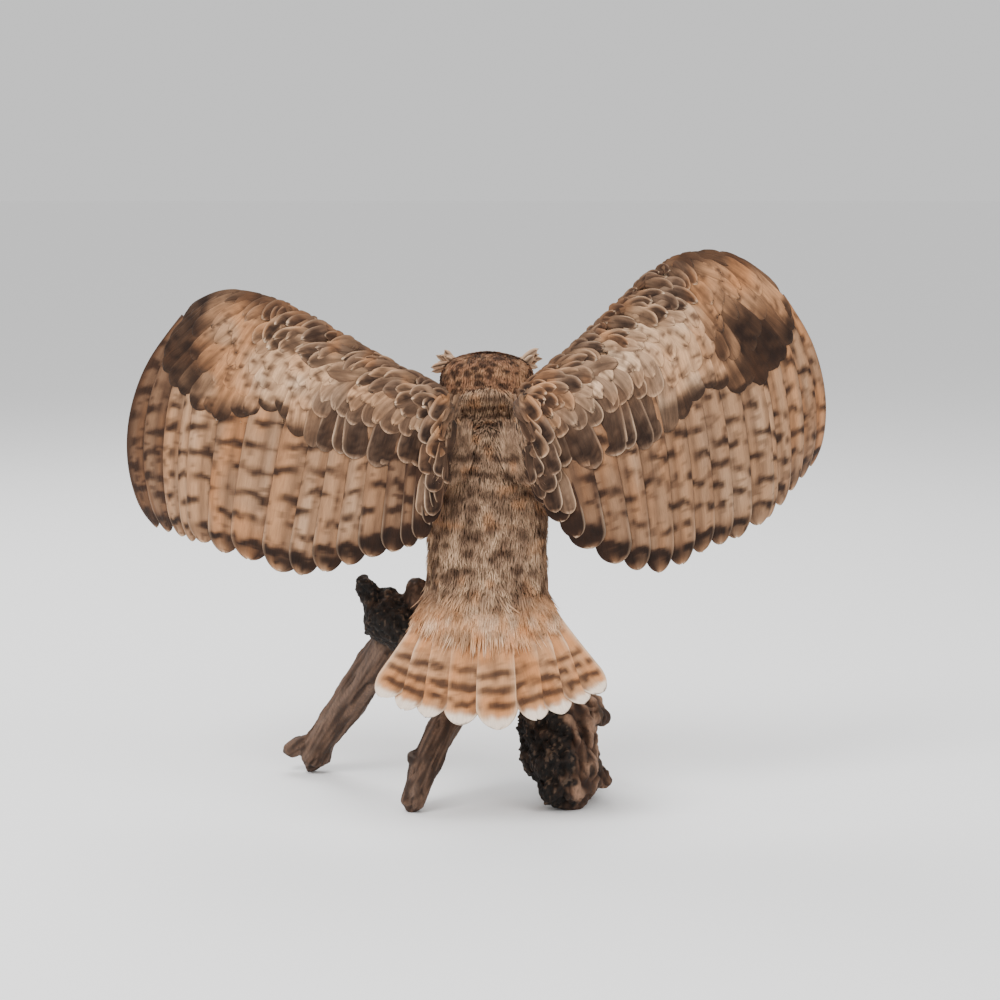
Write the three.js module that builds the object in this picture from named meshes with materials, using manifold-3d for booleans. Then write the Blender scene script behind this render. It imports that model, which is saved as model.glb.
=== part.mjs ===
// A mounted pharaoh eagle owl with raised wings, gripping a piece of driftwood.
// Millimetres. The bird faces -Y, its left wing is on +X, and the wood stands on z = 0.
import * as THREE from "three";
import { mergeVertices } from "three/addons/utils/BufferGeometryUtils.js";
import Module from "manifold-3d";

const wasm = await Module();
wasm.setup();

// ---------------------------------------------------------------- driving dimensions

const GAP = 0.3; // clearance between pieces that touch

const TRUNK = {
  spine: [[0, -50, 418], [0, -38, 380], [0, -14, 325], [0, 9, 270], [0, 38, 228], [0, 74, 190]],
  width: [50, 66, 70, 67, 62, 52],
  depth: [42, 61, 66, 54, 32, 8],
  around: 18,
  along: 12,
  cap: 0.2,
};
const NECK = {
  spine: [[0, -36, 402], [0, -50, 418], [0, -62, 434]],
  width: [50, 50, 47],
  depth: [44, 45, 42],
  around: 12,
  along: 5,
  cap: 0.2,
};
const HEAD = {
  centre: [0, -78, 442],
  halfWidth: 56,
  halfHeight: 44,
  back: 49,
  face: 38,
  dish: 7, // depth of the hollow round each eye
  dishRadius: 20,
};
const EYE = { radius: 13, apart: 22, forward: -104, height: 447 };
const BILL = {
  spine: [[0, -104, 448], [0, -119, 443], [0, -126, 430], [0, -121, 414]],
  width: [7.5, 7.5, 5.5, 2],
  depth: [7, 7, 5.5, 2],
  around: 8,
  along: 8,
};
const EAR_TUFT = {
  spine: [[34, -92, 464], [48, -90, 476], [64, -84, 482]],
  width: [9, 8, 4],
  depth: [6, 5, 2.5],
  around: 7,
  along: 5,
};

const TAIL = {
  rootWidth: 132,
  rootDepth: 26,
  rootHeight: 240,
  tipWidth: 250,
  tipDepth: 150,
  tipHeight: 113,
  tipRise: 34, // how much higher and shorter the outer feathers end
  feathers: 11,
  arch: 10,
};

// Each wing is one curved surface. At each station out from the shoulder it has a point on the
// leading edge and a point on the line of feather tips.
const WINGS = {
  left: {
    side: 1,
    edge: [[35, 30, 429], [58, 22, 454], [94, 26, 475], [145, 30, 506], [198, 22, 535],
      [267, 4, 554], [328, -22, 525]],
    tips: [[49, 56, 346], [70, 60, 296], [122, 58, 276], [199, 40, 253], [257, 12, 265],
      [316, -22, 279], [374, -72, 290]],
    bow: 84, // how far the outermost primary bends outwards
    bowPower: 5,
  },
  right: {
    side: -1,
    edge: [[-29, 30, 429], [-51, 22, 461], [-86, 26, 492], [-139, 30, 545], [-178, 22, 581],
      [-241, 4, 595], [-323, -22, 542]],
    tips: [[-48, 56, 352], [-95, 60, 297], [-138, 58, 268], [-184, 40, 257], [-238, 12, 275],
      [-306, -22, 307], [-366, -72, 367]],
    bow: 42,
    bowPower: 1.2,
  },
};
const WING = {
  camber: 30,
  humerus: [34, 29, 15], // half the thickness of the feathered upper arm, from shoulder to elbow
  elbow: 0.36, // where the arm's parts meet, as shares of the way out along the wing
  wrist: 0.66,
  coverts: [0.62, 0.5, 0.47, 0.44, 0.46, 0.48, 0.2], // share of the chord that the arm and its coverts take
  fat: [14, 13, 12, 10, 9, 7, 3], // the arm's thickness above its middle surface
  under: [52, 30, 14, 10, 9, 7, 3], // and below it, where it grows into the side of the breast
  edgeThickness: 2.4,
  vaneThickness: 1.4,
  secondaries: 9,
  primaries: 10,
  scallop: 0.045, // depth of the notches between feather tips, as a share of the chord
};

const LEG = {
  hip: [36, -4, 272],
  knee: [39, -20, 246],
  ankle: [37, -30, 220],
  width: [32, 29, 18],
  depth: [42, 34, 19],
  shankWidth: 13.5,
  shankDepth: 14.5,
};
const TOE = {
  radius: 7,
  ball: 9,
  spread: [5, 14], // sideways distance from the foot's middle, at the knuckle and at the tip
  frontReach: 66, // degrees round the perch
  backReach: 54,
  clawReach: 36,
  clawRadius: 3.4,
};

// The wood under the feet: its spine, and the pieces that grow from it.
const LOG = {
  spine: [[138, -34, 214], [104, -30, 192], [62, -30, 167], [20, -30, 158], [-20, -29, 153],
    [-58, -26, 134], [-92, -20, 108]],
  width: [30, 29, 27, 27, 27, 31, 34],
  depth: [26, 28, 27, 27, 27, 31, 34],
  around: 12,
  along: 11,
  cap: 0.08,
  gnarl: 0.02,
  seed: 1,
};
const DRIFTWOOD = {
  stand_driftwood_leg_left: {
    spine: [[92, -34, 184], [126, -58, 138], [158, -84, 86], [190, -106, 36], [206, -116, -4]],
    width: [24, 20, 20, 17, 21],
    depth: [24, 20, 19, 17, 20],
    gnarl: 0.1,
    seed: 2,
  },
  stand_driftwood_toe_left: {
    spine: [[198, -108, 34], [214, -114, 30], [236, -118, 20]],
    width: [15, 14, 8],
    depth: [14, 12, 7],
    gnarl: 0.06,
    around: 8,
    along: 6,
    seed: 3,
  },
  stand_driftwood_leg_middle: {
    spine: [[0, -14, 126], [36, 14, 100], [64, 42, 55], [77, 55, 20], [84, 60, -4]],
    width: [22, 19, 19, 14, 13],
    depth: [22, 18, 18, 14, 13],
    gnarl: 0.1,
    seed: 4,
  },
  stand_driftwood_stump: {
    spine: [[-72, -20, 108], [-76, 4, 74], [-86, 34, 38], [-96, 48, -6]],
    width: [48, 44, 37, 27],
    depth: [40, 40, 32, 25],
    gnarl: 0.1,
    seed: 5,
  },
  stand_driftwood_stump_back: {
    spine: [[-84, -30, 96], [-92, -42, 54], [-104, -52, -5]],
    width: [34, 28, 24],
    depth: [30, 28, 24],
    gnarl: 0.16,
    seed: 6,
  },
  stand_driftwood_knob_right: {
    spine: [[-104, 10, 40], [-118, 6, 28], [-126, 2, 10]],
    width: [20, 18, 12],
    depth: [18, 18, 12],
    gnarl: 0.18,
    around: 7,
    along: 5,
    seed: 7,
  },
  stand_driftwood_knob_top: {
    spine: [[-96, -14, 96], [-114, -6, 96], [-128, 0, 90]],
    width: [22, 18, 12],
    depth: [22, 18, 12],
    gnarl: 0.18,
    around: 7,
    along: 5,
    seed: 8,
  },
  stand_driftwood_stub_outer: {
    spine: [[122, -32, 208], [134, -30, 230], [139, -28, 243]],
    width: [16, 12, 8],
    depth: [15, 12, 8],
    gnarl: 0.12,
    around: 7,
    along: 5,
    seed: 9,
  },
  stand_driftwood_stub_inner: {
    spine: [[84, -32, 196], [78, -30, 226], [74, -28, 242]],
    width: [18, 14, 10],
    depth: [17, 14, 10],
    gnarl: 0.1,
    around: 7,
    along: 5,
    seed: 10,
  },
};

// ---------------------------------------------------------------- materials

const material = (color, roughness, metalness = 0) =>
  new THREE.MeshStandardMaterial({ color, roughness, metalness });

const MATERIALS = {
  plumage: material(0x8a6a4c, 0.9),
  covert: material(0x6f5743, 0.85),
  vane: material(0xb98f66, 0.8),
  tail: material(0xc3925f, 0.8),
  legFeather: material(0xc9a880, 0.9),
  eye: material(0xd9761a, 0.1),
  bill: material(0x24211f, 0.4),
  claw: material(0x171413, 0.35),
  wood: material(0x4a3a30, 0.95),
};

// ---------------------------------------------------------------- shape helpers

const vector = (p) => new THREE.Vector3(...p);
const clamp = (x, low, high) => Math.min(high, Math.max(low, x));
const curve = (points) => new THREE.CatmullRomCurve3(points.map(vector));

// A value at t from evenly spaced stations, smooth between them.
function at(values, t) {
  const x = clamp(t, 0, 1) * (values.length - 1);
  const i = Math.min(Math.floor(x), values.length - 2);
  const f = x - i;
  const [a, b] = [values[i], values[i + 1]];
  const before = values[i - 1] ?? 2 * a - b;
  const after = values[i + 2] ?? 2 * b - a;
  return (
    a + 0.5 * f * (b - before + f * (2 * before - 5 * a + 4 * b - after + f * (3 * (a - b) + after - before)))
  );
}

// Moves each vertex of a geometry by a function of its place.
function reshape(geometry, move) {
  const position = geometry.getAttribute("position");
  const v = new THREE.Vector3();
  for (let i = 0; i < position.count; i++) {
    v.fromBufferAttribute(position, i);
    const p = move(v);
    position.setXYZ(i, p.x, p.y, p.z);
  }
  return geometry;
}

// A closed geometry as a solid whose faces point out.
function solidOf(geometry) {
  const bare = geometry.clone();
  bare.deleteAttribute("normal");
  bare.deleteAttribute("uv");
  const merged = mergeVertices(bare, 1e-4);
  const make = (triVerts) =>
    new wasm.Manifold(
      new wasm.Mesh({ numProp: 3, vertProperties: merged.attributes.position.array, triVerts }),
    );
  const triVerts = new Uint32Array(merged.index.array);
  const made = make(triVerts);
  return made.volume() > 0 ? made : make(triVerts.reverse());
}

// A limb: a sphere whose rings follow a spine, with rounded ends.
// side is the direction of the rings' half-width, and gnarl the depth of the knots and grooves.
function limb(shape, grow = 0) {
  const { spine, width, depth, side = [1, 0, 0], around = 10, along = 8 } = shape;
  const { cap = 0.15, gnarl = 0, seed = 0 } = shape;
  const path = curve(spine);
  const across = vector(side);
  const knots = (angle, t) =>
    1 +
    gnarl *
      (Math.sin(2 * angle + 6 * t + 2.1 * seed) +
        0.7 * Math.sin(3 * angle - 11 * t + 1.3 * seed) +
        0.5 * Math.sin(5 * angle + 17 * t + 0.7 * seed));
  const geometry = reshape(new THREE.SphereGeometry(1, around, along), (v) => {
    const t = Math.acos(clamp(v.y, -1, 1)) / Math.PI;
    const angle = Math.atan2(v.z, v.x);
    const tangent = path.getTangent(t);
    const up = new THREE.Vector3().crossVectors(tangent, across).normalize();
    const out = new THREE.Vector3().crossVectors(up, tangent).normalize();
    const toEnd = Math.min(t, 1 - t) / cap;
    const round = toEnd < 1 ? Math.sqrt(Math.max(0, 1 - (1 - toEnd) ** 2)) : 1;
    const longer = toEnd < 1 ? grow * (1 - toEnd) * Math.sign(t - 0.5) : 0;
    const ripple = gnarl ? knots(angle, t) : 1;
    return path
      .getPoint(t)
      .addScaledVector(tangent, longer)
      .addScaledVector(out, (at(width, t) * ripple + grow) * round * Math.cos(angle))
      .addScaledVector(up, (at(depth, t) * ripple + grow) * round * Math.sin(angle));
  });
  return solidOf(geometry);
}

// A plate: a unit box mapped by place(u, v, w), with u and v from 0 to 1 over it and w from -1 to 1 through it.
function plate(columns, rows, place) {
  const box = new THREE.BoxGeometry(1, 1, 1, columns, rows, 1);
  return solidOf(reshape(box, (p) => place(clamp(p.x + 0.5, 0, 1), clamp(p.y + 0.5, 0, 1), 2 * p.z)));
}

// How far a row of round feather tips reaches at u, from 1 at each tip down to 1 - depth between them.
function scallop(u, feathers, depth) {
  const across = 2 * ((u * feathers) % 1) - 1;
  return 1 - depth * (1 - Math.sqrt(1 - 0.98 * across * across));
}

// The largest piece of a solid that a cut has split.
function largest(solid) {
  return solid.decompose().reduce((a, b) => (b.volume() > a.volume() ? b : a));
}

function meshOf(name, solid, surface) {
  const made = largest(solid).getMesh();
  const geometry = new THREE.BufferGeometry();
  geometry.setAttribute("position", new THREE.BufferAttribute(new Float32Array(made.vertProperties), 3));
  geometry.setIndex(new THREE.BufferAttribute(new Uint32Array(made.triVerts), 1));
  geometry.computeVertexNormals();
  const mesh = new THREE.Mesh(geometry, surface);
  mesh.name = name;
  return mesh;
}

const mirrored = (shape) => ({ ...shape, spine: shape.spine.map(([x, y, z]) => [-x, y, z]) });
const SIDES = { left: 1, right: -1 };
const bySide = (name, shape) => (name === "left" ? shape : mirrored(shape));

// ---------------------------------------------------------------- head and body

const trunkSolid = (grow) => limb(TRUNK, grow);

function headSolid(grow) {
  const { halfWidth, halfHeight, back, face, dish, dishRadius } = HEAD;
  const geometry = new THREE.SphereGeometry(1, 18, 13).rotateX(Math.PI / 2);
  reshape(geometry, (v) => {
    const fore = Math.max(0, -v.y);
    const x = (halfWidth + grow) * v.x * (1 + 0.05 * fore);
    const z = (halfHeight + grow) * v.z * (1 + 0.04 * fore);
    if (v.y >= 0) return new THREE.Vector3(x, (back + grow) * v.y, z);
    const flat = 1 - (1 - fore) ** 2;
    const fromEye = Math.hypot(Math.abs(x) - EYE.apart, z - EYE.height + HEAD.centre[2]);
    const hollow = dish * Math.exp(-((fromEye / dishRadius) ** 2)) * fore;
    return new THREE.Vector3(x, -(face + grow) * flat + hollow, z);
  });
  return solidOf(geometry).translate(HEAD.centre);
}

function eyeSolid(side, grow = 0) {
  const ball = new THREE.SphereGeometry(EYE.radius + grow, 10, 7);
  return solidOf(ball).translate([side * EYE.apart, EYE.forward, EYE.height]);
}

function headParts() {
  const parts = [];
  let head = headSolid(0).subtract(limb(BILL, GAP));
  for (const [name, side] of Object.entries(SIDES)) {
    head = head.subtract(eyeSolid(side, GAP));
    parts.push(meshOf(`eye_${name}`, eyeSolid(side), MATERIALS.eye));
    const tuft = limb(bySide(name, EAR_TUFT)).subtract(headSolid(GAP));
    parts.push(meshOf(`ear_tuft_${name}`, tuft, MATERIALS.covert));
  }
  const bill = limb(BILL).subtract(eyeSolid(1, GAP)).subtract(eyeSolid(-1, GAP));
  parts.push(meshOf("bill", bill, MATERIALS.bill));
  parts.push(meshOf("head", head, MATERIALS.plumage));
  return parts;
}

function bodyParts() {
  const neck = limb(NECK).subtract(trunkSolid(GAP)).subtract(headSolid(GAP));
  const trunk = trunkSolid(0).subtract(headSolid(GAP));
  return [
    meshOf("neck", neck, MATERIALS.plumage),
    meshOf("trunk", trunk, MATERIALS.plumage),
  ];
}

// ---------------------------------------------------------------- tail

function tailSolid() {
  const { rootWidth, rootDepth, rootHeight, tipWidth, tipDepth, tipHeight, tipRise, feathers, arch } = TAIL;
  return plate(feathers * 3, 2, (u, v, w) => {
    const a = 2 * u - 1;
    const root = new THREE.Vector3((a * rootWidth) / 2, rootDepth, rootHeight - 8 * a * a);
    const tip = new THREE.Vector3((a * tipWidth) / 2, tipDepth - 10 * a * a, tipHeight + tipRise * a * a);
    const s = v - (1 - scallop(u, feathers, 0.06)) * v ** 3;
    const point = root.lerp(tip, s);
    const half = 1.6 - 0.8 * v;
    point.y += 0.76 * (arch * (1 - a * a) * s * (1 - s) * 4 + half * w);
    point.z += 0.65 * (arch * (1 - a * a) * s * (1 - s) * 4 + half * w);
    return point;
  });
}

// ---------------------------------------------------------------- wings

// The wing's surface: u runs out from the shoulder, s back from the leading edge to the feather tips.
function wingSurface(wing) {
  const edge = curve(wing.edge);
  const tips = curve(wing.tips);
  const point = (u, s) => {
    const a = edge.getPoint(clamp(u, 0, 1));
    const b = tips.getPoint(clamp(u, 0, 1));
    const swell = 2 * s * (1 - s);
    const out = wing.side * wing.bow * clamp(u, 0, 1) ** wing.bowPower;
    return a.lerp(b, s).add(new THREE.Vector3(out, WING.camber, 0).multiplyScalar(swell));
  };
  const normal = (u, s) => {
    const h = 0.01;
    const along = point(Math.min(1, u + h), s).sub(point(Math.max(0, u - h), s));
    const down = point(u, s + h).sub(point(u, s - h));
    return along.cross(down).multiplyScalar(wing.side).normalize();
  };
  return (u, s, offset) => point(u, s).addScaledVector(normal(u, s), -offset);
}

// One part of the arm with its coverts: thick behind the leading edge, thin where the coverts end.
function armSolid(surface, from, to, columns, grow = 0) {
  return plate(columns, 5, (p, q, w) => {
    const u = from - grow / 300 + p * (to - from + grow / 150);
    const chord = at(WING.coverts, u) + grow / 250;
    const fullness = 1.9 * Math.sqrt(q) * (1 - q) ** 0.9;
    const half = WING.edgeThickness / 2 + at(w < 0 ? WING.fat : WING.under, u) * fullness + grow;
    return surface(u, q ** 1.4 * chord - (q === 0 ? grow / 250 : 0), w * half);
  });
}

// A fan of flight feathers, notched between their round tips.
function fanSolid(surface, from, to, feathers) {
  return plate(feathers * 2, 2, (p, q, w) => {
    const u = from + p * (to - from);
    const root = at(WING.coverts, u) - 0.06;
    const notch = 1 - scallop(p, feathers, WING.scallop);
    return surface(u, root + q * (1 - root) - notch * q ** 3, (w * WING.vaneThickness * (1.3 - 0.6 * q)) / 2);
  });
}

function wingParts(name) {
  const surface = wingSurface(WINGS[name]);
  const side = SIDES[name];
  const { elbow, wrist, secondaries, primaries } = WING;
  const cut = GAP / 400; // a gap across the arm, as a share of the way out
  const humerus = {
    spine: [[38 * side, -24, 392], [68 * side, -2, 412], surface(elbow - 0.05, 0.25, 0).toArray()],
    width: WING.humerus,
    depth: WING.humerus,
    around: 9,
    along: 6,
  };
  const forearm = (grow) => armSolid(surface, elbow + cut, wrist - cut, 7, grow);
  const hand = (grow) => armSolid(surface, wrist + cut, 1, 7, grow);
  const upperArm = (grow) => armSolid(surface, 0, elbow - cut, 6, grow).add(limb(humerus, grow));
  const shoulder = upperArm(0)
    .subtract(forearm(GAP))
    .subtract(trunkSolid(GAP))
    .subtract(limb(NECK, GAP))
    .subtract(headSolid(GAP));
  const bare = (fan) =>
    [upperArm, forearm, hand].reduce((left, part) => left.subtract(part(GAP)), fan).subtract(trunkSolid(GAP));
  return [
    meshOf(`wing_${name}_upper_arm`, shoulder, MATERIALS.covert),
    meshOf(`wing_${name}_forearm`, forearm(0), MATERIALS.covert),
    meshOf(`wing_${name}_hand`, hand(0), MATERIALS.covert),
    meshOf(`wing_${name}_secondaries`, bare(fanSolid(surface, 0.06, 0.64, secondaries)), MATERIALS.vane),
    meshOf(`wing_${name}_primaries`, bare(fanSolid(surface, 0.642, 1, primaries)), MATERIALS.vane),
  ];
}

// ---------------------------------------------------------------- legs and feet

const perch = curve(LOG.spine);

// A point at x, at an angle forwards from the perch's top and at a height over its surface.
function roundPerch(x, degrees, height) {
  let t = 0;
  while (t < 1 && perch.getPoint(t).x > x) t += 0.002;
  const centre = perch.getPoint(t);
  const knots = 1 + 2 * LOG.gnarl;
  const upright = (at(LOG.width, t) * knots) / Math.abs(perch.getTangent(t).x) + height;
  const level = at(LOG.depth, t) * knots + height;
  const angle = THREE.MathUtils.degToRad(degrees);
  return [x, centre.y - level * Math.sin(angle), centre.z + upright * Math.cos(angle)];
}

// The four toes of a foot: two forwards and two back, each with the angle that it reaches.
function toesOf(x) {
  return [["front_inner", 1, -1], ["front_outer", 1, 1], ["back_inner", -1, -1], ["back_outer", -1, 1]].map(
    ([name, way, out]) => ({
      name,
      way,
      reach: way > 0 ? TOE.frontReach : TOE.backReach,
      lane: (share) => x + out * Math.sign(x) * THREE.MathUtils.lerp(...TOE.spread, share),
    }),
  );
}

function toeSolid({ way, reach, lane }, grow = 0) {
  const spine = [0, 0.35, 0.7, 1].map((share) =>
    roundPerch(lane(share), way * reach * share, TOE.radius + GAP - share),
  );
  return limb({ spine, width: [8, 7.5, 6.8, 6], depth: [7, 6.8, 6.2, 5.4], around: 6, along: 5 }, grow);
}

function clawSolid({ way, reach, lane }, grow = 0) {
  const spine = [0, 0.5, 1].map((share) =>
    roundPerch(
      lane(0.95 + 0.1 * share),
      way * (reach - 4 + TOE.clawReach * share),
      TOE.radius - 1 + 2 * share * (1 - share) - 4 * share,
    ),
  );
  const { clawRadius: r } = TOE;
  return limb({ spine, width: [r, 0.75 * r, 0.7], depth: [1.1 * r, 0.85 * r, 0.7], around: 6, along: 5 }, grow);
}

// The toes, joined by the ball of the foot.
function footSolid(x, grow = 0) {
  const ball = solidOf(new THREE.SphereGeometry(TOE.ball + grow, 8, 6));
  const middle = roundPerch(x, 0, TOE.ball + GAP);
  return toesOf(x).reduce((foot, toe) => foot.add(toeSolid(toe, grow)), ball.translate(middle));
}

function shankSolid(side, grow = 0) {
  const x = side * LEG.ankle[0];
  const foot = roundPerch(x, 0, TOE.radius);
  const spine = [[x, LEG.ankle[1], LEG.ankle[2] + 6], [x, -31, (LEG.ankle[2] + foot[2]) / 2], foot];
  const { shankWidth: w, shankDepth: d } = LEG;
  return limb({ spine, width: [w, w, 0.9 * w], depth: [d, d, 0.9 * d], along: 4, around: 9, cap: 0.2 }, grow);
}

function thighSolid(name, grow = 0) {
  const { hip, knee, ankle, width, depth } = LEG;
  const shape = { spine: [hip, knee, ankle], width, depth, around: 12, along: 6, cap: 0.25 };
  return limb(bySide(name, shape), grow);
}

function legParts(name) {
  const side = SIDES[name];
  const x = side * LEG.ankle[0];
  const claws = toesOf(x).map((toe) => ({ toe, solid: clawSolid(toe).subtract(toeSolid(toe, GAP)) }));
  return [
    meshOf(`thigh_${name}`, thighSolid(name).subtract(trunkSolid(GAP)), MATERIALS.legFeather),
    meshOf(
      `shank_${name}`,
      shankSolid(side).subtract(thighSolid(name, GAP)).subtract(trunkSolid(GAP)).subtract(footSolid(x, GAP)),
      MATERIALS.legFeather,
    ),
    meshOf(`foot_${name}`, footSolid(x), MATERIALS.legFeather),
    ...claws.map(({ toe, solid }) => meshOf(`claw_${name}_${toe.name}`, solid, MATERIALS.claw)),
  ];
}

// ---------------------------------------------------------------- driftwood

function driftwoodParts() {
  const below = solidOf(new THREE.BoxGeometry(900, 900, 100)).translate([0, 0, -50]);
  const placed = [limb(LOG, GAP)];
  const parts = [meshOf("stand_driftwood_log", limb(LOG), MATERIALS.wood)];
  for (const [name, shape] of Object.entries(DRIFTWOOD)) {
    const cutters = [...placed, below];
    const solid = cutters.reduce((wood, cutter) => wood.subtract(cutter), limb(shape));
    parts.push(meshOf(name, solid, MATERIALS.wood));
    placed.push(limb(shape, GAP));
  }
  return parts;
}

// ---------------------------------------------------------------- assembly

const owl = new THREE.Group();
owl.add(...headParts(), ...bodyParts());
owl.add(meshOf("tail", tailSolid().subtract(trunkSolid(GAP)), MATERIALS.tail));
for (const name of Object.keys(SIDES)) owl.add(...wingParts(name), ...legParts(name));
owl.add(...driftwoodParts());

// The part's origin is the middle of its footprint, on the surface that the wood stands on.
const middle = new THREE.Box3().setFromObject(owl, true).getCenter(new THREE.Vector3());
owl.position.set(-middle.x, -middle.y, 0);

const model = new THREE.Group();
model.add(owl);
export default model;
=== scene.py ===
"""A mounted pharaoh eagle owl with raised wings on a piece of driftwood.

Shapes are worked out in millimetres in the bird's own frame: it faces -Y, its left wing is on +X
and the wood stands on z = 0. Meshes are made in metres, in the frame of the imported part.
"""

import itertools
import logging
import math
from collections.abc import Iterator
from contextlib import contextmanager
from dataclasses import dataclass, field
from enum import Enum
from typing import Callable

import bmesh
import bpy
import numpy as np
from mathutils import Matrix, Vector
from mathutils.bvhtree import BVHTree
from mathutils.kdtree import KDTree


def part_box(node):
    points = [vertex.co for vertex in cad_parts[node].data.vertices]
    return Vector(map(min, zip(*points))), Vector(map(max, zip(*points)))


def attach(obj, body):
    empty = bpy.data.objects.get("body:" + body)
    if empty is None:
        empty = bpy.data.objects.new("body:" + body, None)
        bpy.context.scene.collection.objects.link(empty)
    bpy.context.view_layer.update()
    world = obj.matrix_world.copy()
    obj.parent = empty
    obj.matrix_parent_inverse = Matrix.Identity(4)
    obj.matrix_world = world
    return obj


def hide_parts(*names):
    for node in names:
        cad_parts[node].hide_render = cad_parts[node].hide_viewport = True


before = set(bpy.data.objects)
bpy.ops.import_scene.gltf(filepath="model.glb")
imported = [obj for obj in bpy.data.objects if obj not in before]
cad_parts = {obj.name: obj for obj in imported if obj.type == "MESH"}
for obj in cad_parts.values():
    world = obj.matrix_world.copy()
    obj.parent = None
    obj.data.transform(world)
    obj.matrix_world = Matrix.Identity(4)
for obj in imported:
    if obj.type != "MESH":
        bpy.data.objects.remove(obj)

logging.basicConfig(level=logging.INFO, format="%(message)s")
LOG = logging.getLogger("owl")
Array = np.ndarray
BMesh, Mesh, Socket = bmesh.types.BMesh, bpy.types.Mesh, bpy.types.NodeSocket

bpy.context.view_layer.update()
MM = 0.001
EYE_CENTRE = np.array([22.0, -104.0, 447.0])  # of the left eye, in the bird's frame
EYE_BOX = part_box("eye_left")
SHIFT = (np.array(EYE_BOX[0]) + np.array(EYE_BOX[1])) / (2 * MM) - EYE_CENTRE
PATCH = 0.003  # size of a tuft's patch on the map that its colours are baked to
EYE_RADIUS = 13.0
SPINE = ((0, -50, 418), (0, -38, 380), (0, -14, 325), (0, 9, 270), (0, 38, 228), (0, 74, 190))  # neck to tail
RUMP_TOP = 300  # height where the back becomes the rump
PRIMES = (374761393, 668265263, 2147483647)  # mix a cell's three numbers for the noise


class Side(Enum):
    """A side of the bird, with the sign of its x."""

    LEFT = 1
    RIGHT = -1

    @property
    def word(self) -> str:
        """The side's name as the nodes spell it."""
        return self.name.lower()


# ---------------------------------------------------------------- numbers and noise


def srgb(red: float, green: float, blue: float) -> Array:
    """A colour given from 0 to 255 as seen on a screen, made linear.

    Args:
        red, green, blue: the three levels.

    Returns:
        Three linear values from 0 to 1.
    """
    level = np.array([red, green, blue]) / 255
    return np.where(level <= 0.04045, level / 12.92, ((level + 0.055) / 1.055) ** 2.4)


def smooth(low: float, high: float, value: Array) -> Array:
    """A soft step from 0 at low to 1 at high.

    Args:
        low, high: where the step starts and ends. high may be the smaller.
        value: the values to step.

    Returns:
        Values from 0 to 1.
    """
    share = np.clip((value - low) / (high - low), 0, 1)
    return share * share * (3 - 2 * share)


def blend(first: Array, second: Array, share: Array) -> Array:
    """Two colours mixed by a share.

    Args:
        first, second: colours, or arrays of them.
        share: 0 for the first and 1 for the second, without the colour axis.

    Returns:
        The mixed colours.
    """
    part = np.asarray(share)[..., None]
    return (np.sqrt(first) * (1 - part) + np.sqrt(second) * part) ** 2


def unit(vectors: Array) -> Array:
    """Vectors along the last axis, made one long."""
    return vectors / np.maximum(np.linalg.norm(vectors, axis=-1, keepdims=True), 1e-9)


def square(ahead: Array, way: Array) -> Array:
    """Directions made square to others, and one long."""
    return unit(ahead - way * np.sum(ahead * way, -1, keepdims=True))


def vec(*parts: Array) -> Array:
    """Values put side by side along a new last axis."""
    return np.stack(parts, -1)


def each(values: Array) -> Array:
    """A value for each feather, shaped to go with its rows and the points across them."""
    return values[:, None, None]


def noise(points: Array, size: float | tuple, seed: int) -> Array:
    """Smooth noise in space.

    Args:
        points: places, with x, y and z along the last axis.
        size: the distance over which the noise changes, for all axes or for each.
        seed: picks the pattern.

    Returns:
        Values from 0 to 1, one for each place.
    """
    place = np.asarray(points) / np.asarray(size) + 0.37 * seed
    cell = np.floor(place).astype(np.int64)
    part = place - cell
    part = part * part * (3 - 2 * part)
    total = np.zeros(place.shape[:-1])
    for corner in itertools.product((0, 1), repeat=3):
        mixed = (cell + corner) @ PRIMES + seed * 974634777
        mixed &= 0xFFFFFFFF
        mixed = ((mixed ^ (mixed >> 13)) * 1274126177) & 0xFFFFFFFF
        level = ((mixed ^ (mixed >> 16)) & 0xFFFF) / 65535
        total += level * np.prod(np.where(corner, part, 1 - part), axis=-1)
    return total


def patchy(low: float, high: float, p: Array, size: float | tuple, seed: int) -> Array:
    """A soft step of the noise at places, for patches with soft edges."""
    return smooth(low, high, noise(p, size, seed))


def cells(points: Array, size: tuple, seed: int) -> Array:
    """Distances from places to the nearest point of an uneven grid, for separate round spots.

    Args:
        points: the places.
        size: the grid's step along each axis.
        seed: picks the grid.

    Returns:
        The distances, in steps.
    """
    q = points / np.array(size)
    base = np.floor(q)
    best = np.full(q.shape[:-1], 9.0)
    turns = np.array([[127.1, 311.7, 74.7], [269.5, 183.3, 246.1], [113.5, 271.9, 124.6]])
    for step in np.ndindex(3, 3, 3):
        corner = base + np.array(step) - 1
        spread = np.sin(corner @ turns + seed) * 43758.5
        best = np.minimum(best, np.linalg.norm(corner + spread - np.floor(spread) - q, axis=-1))
    return best


def stations(values: tuple, t: Array) -> Array:
    """Values at t from evenly spaced stations, smooth between them.

    Args:
        values: the value at each station.
        t: from 0 at the first station to 1 at the last.

    Returns:
        The values at t.
    """
    row = np.asarray(values, float)
    row = np.concatenate([[2 * row[0] - row[1]], row, [2 * row[-1] - row[-2]]])
    x = np.clip(t, 0, 1) * (len(values) - 1)
    i = np.minimum(x.astype(int), len(values) - 2)
    f = x - i
    before, a, b, after = row[i], row[i + 1], row[i + 2], row[i + 3]
    curved = f * (2 * before - 5 * a + 4 * b - after + f * (3 * (a - b) + after - before))
    return a + 0.5 * f * (b - before + curved)


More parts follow.
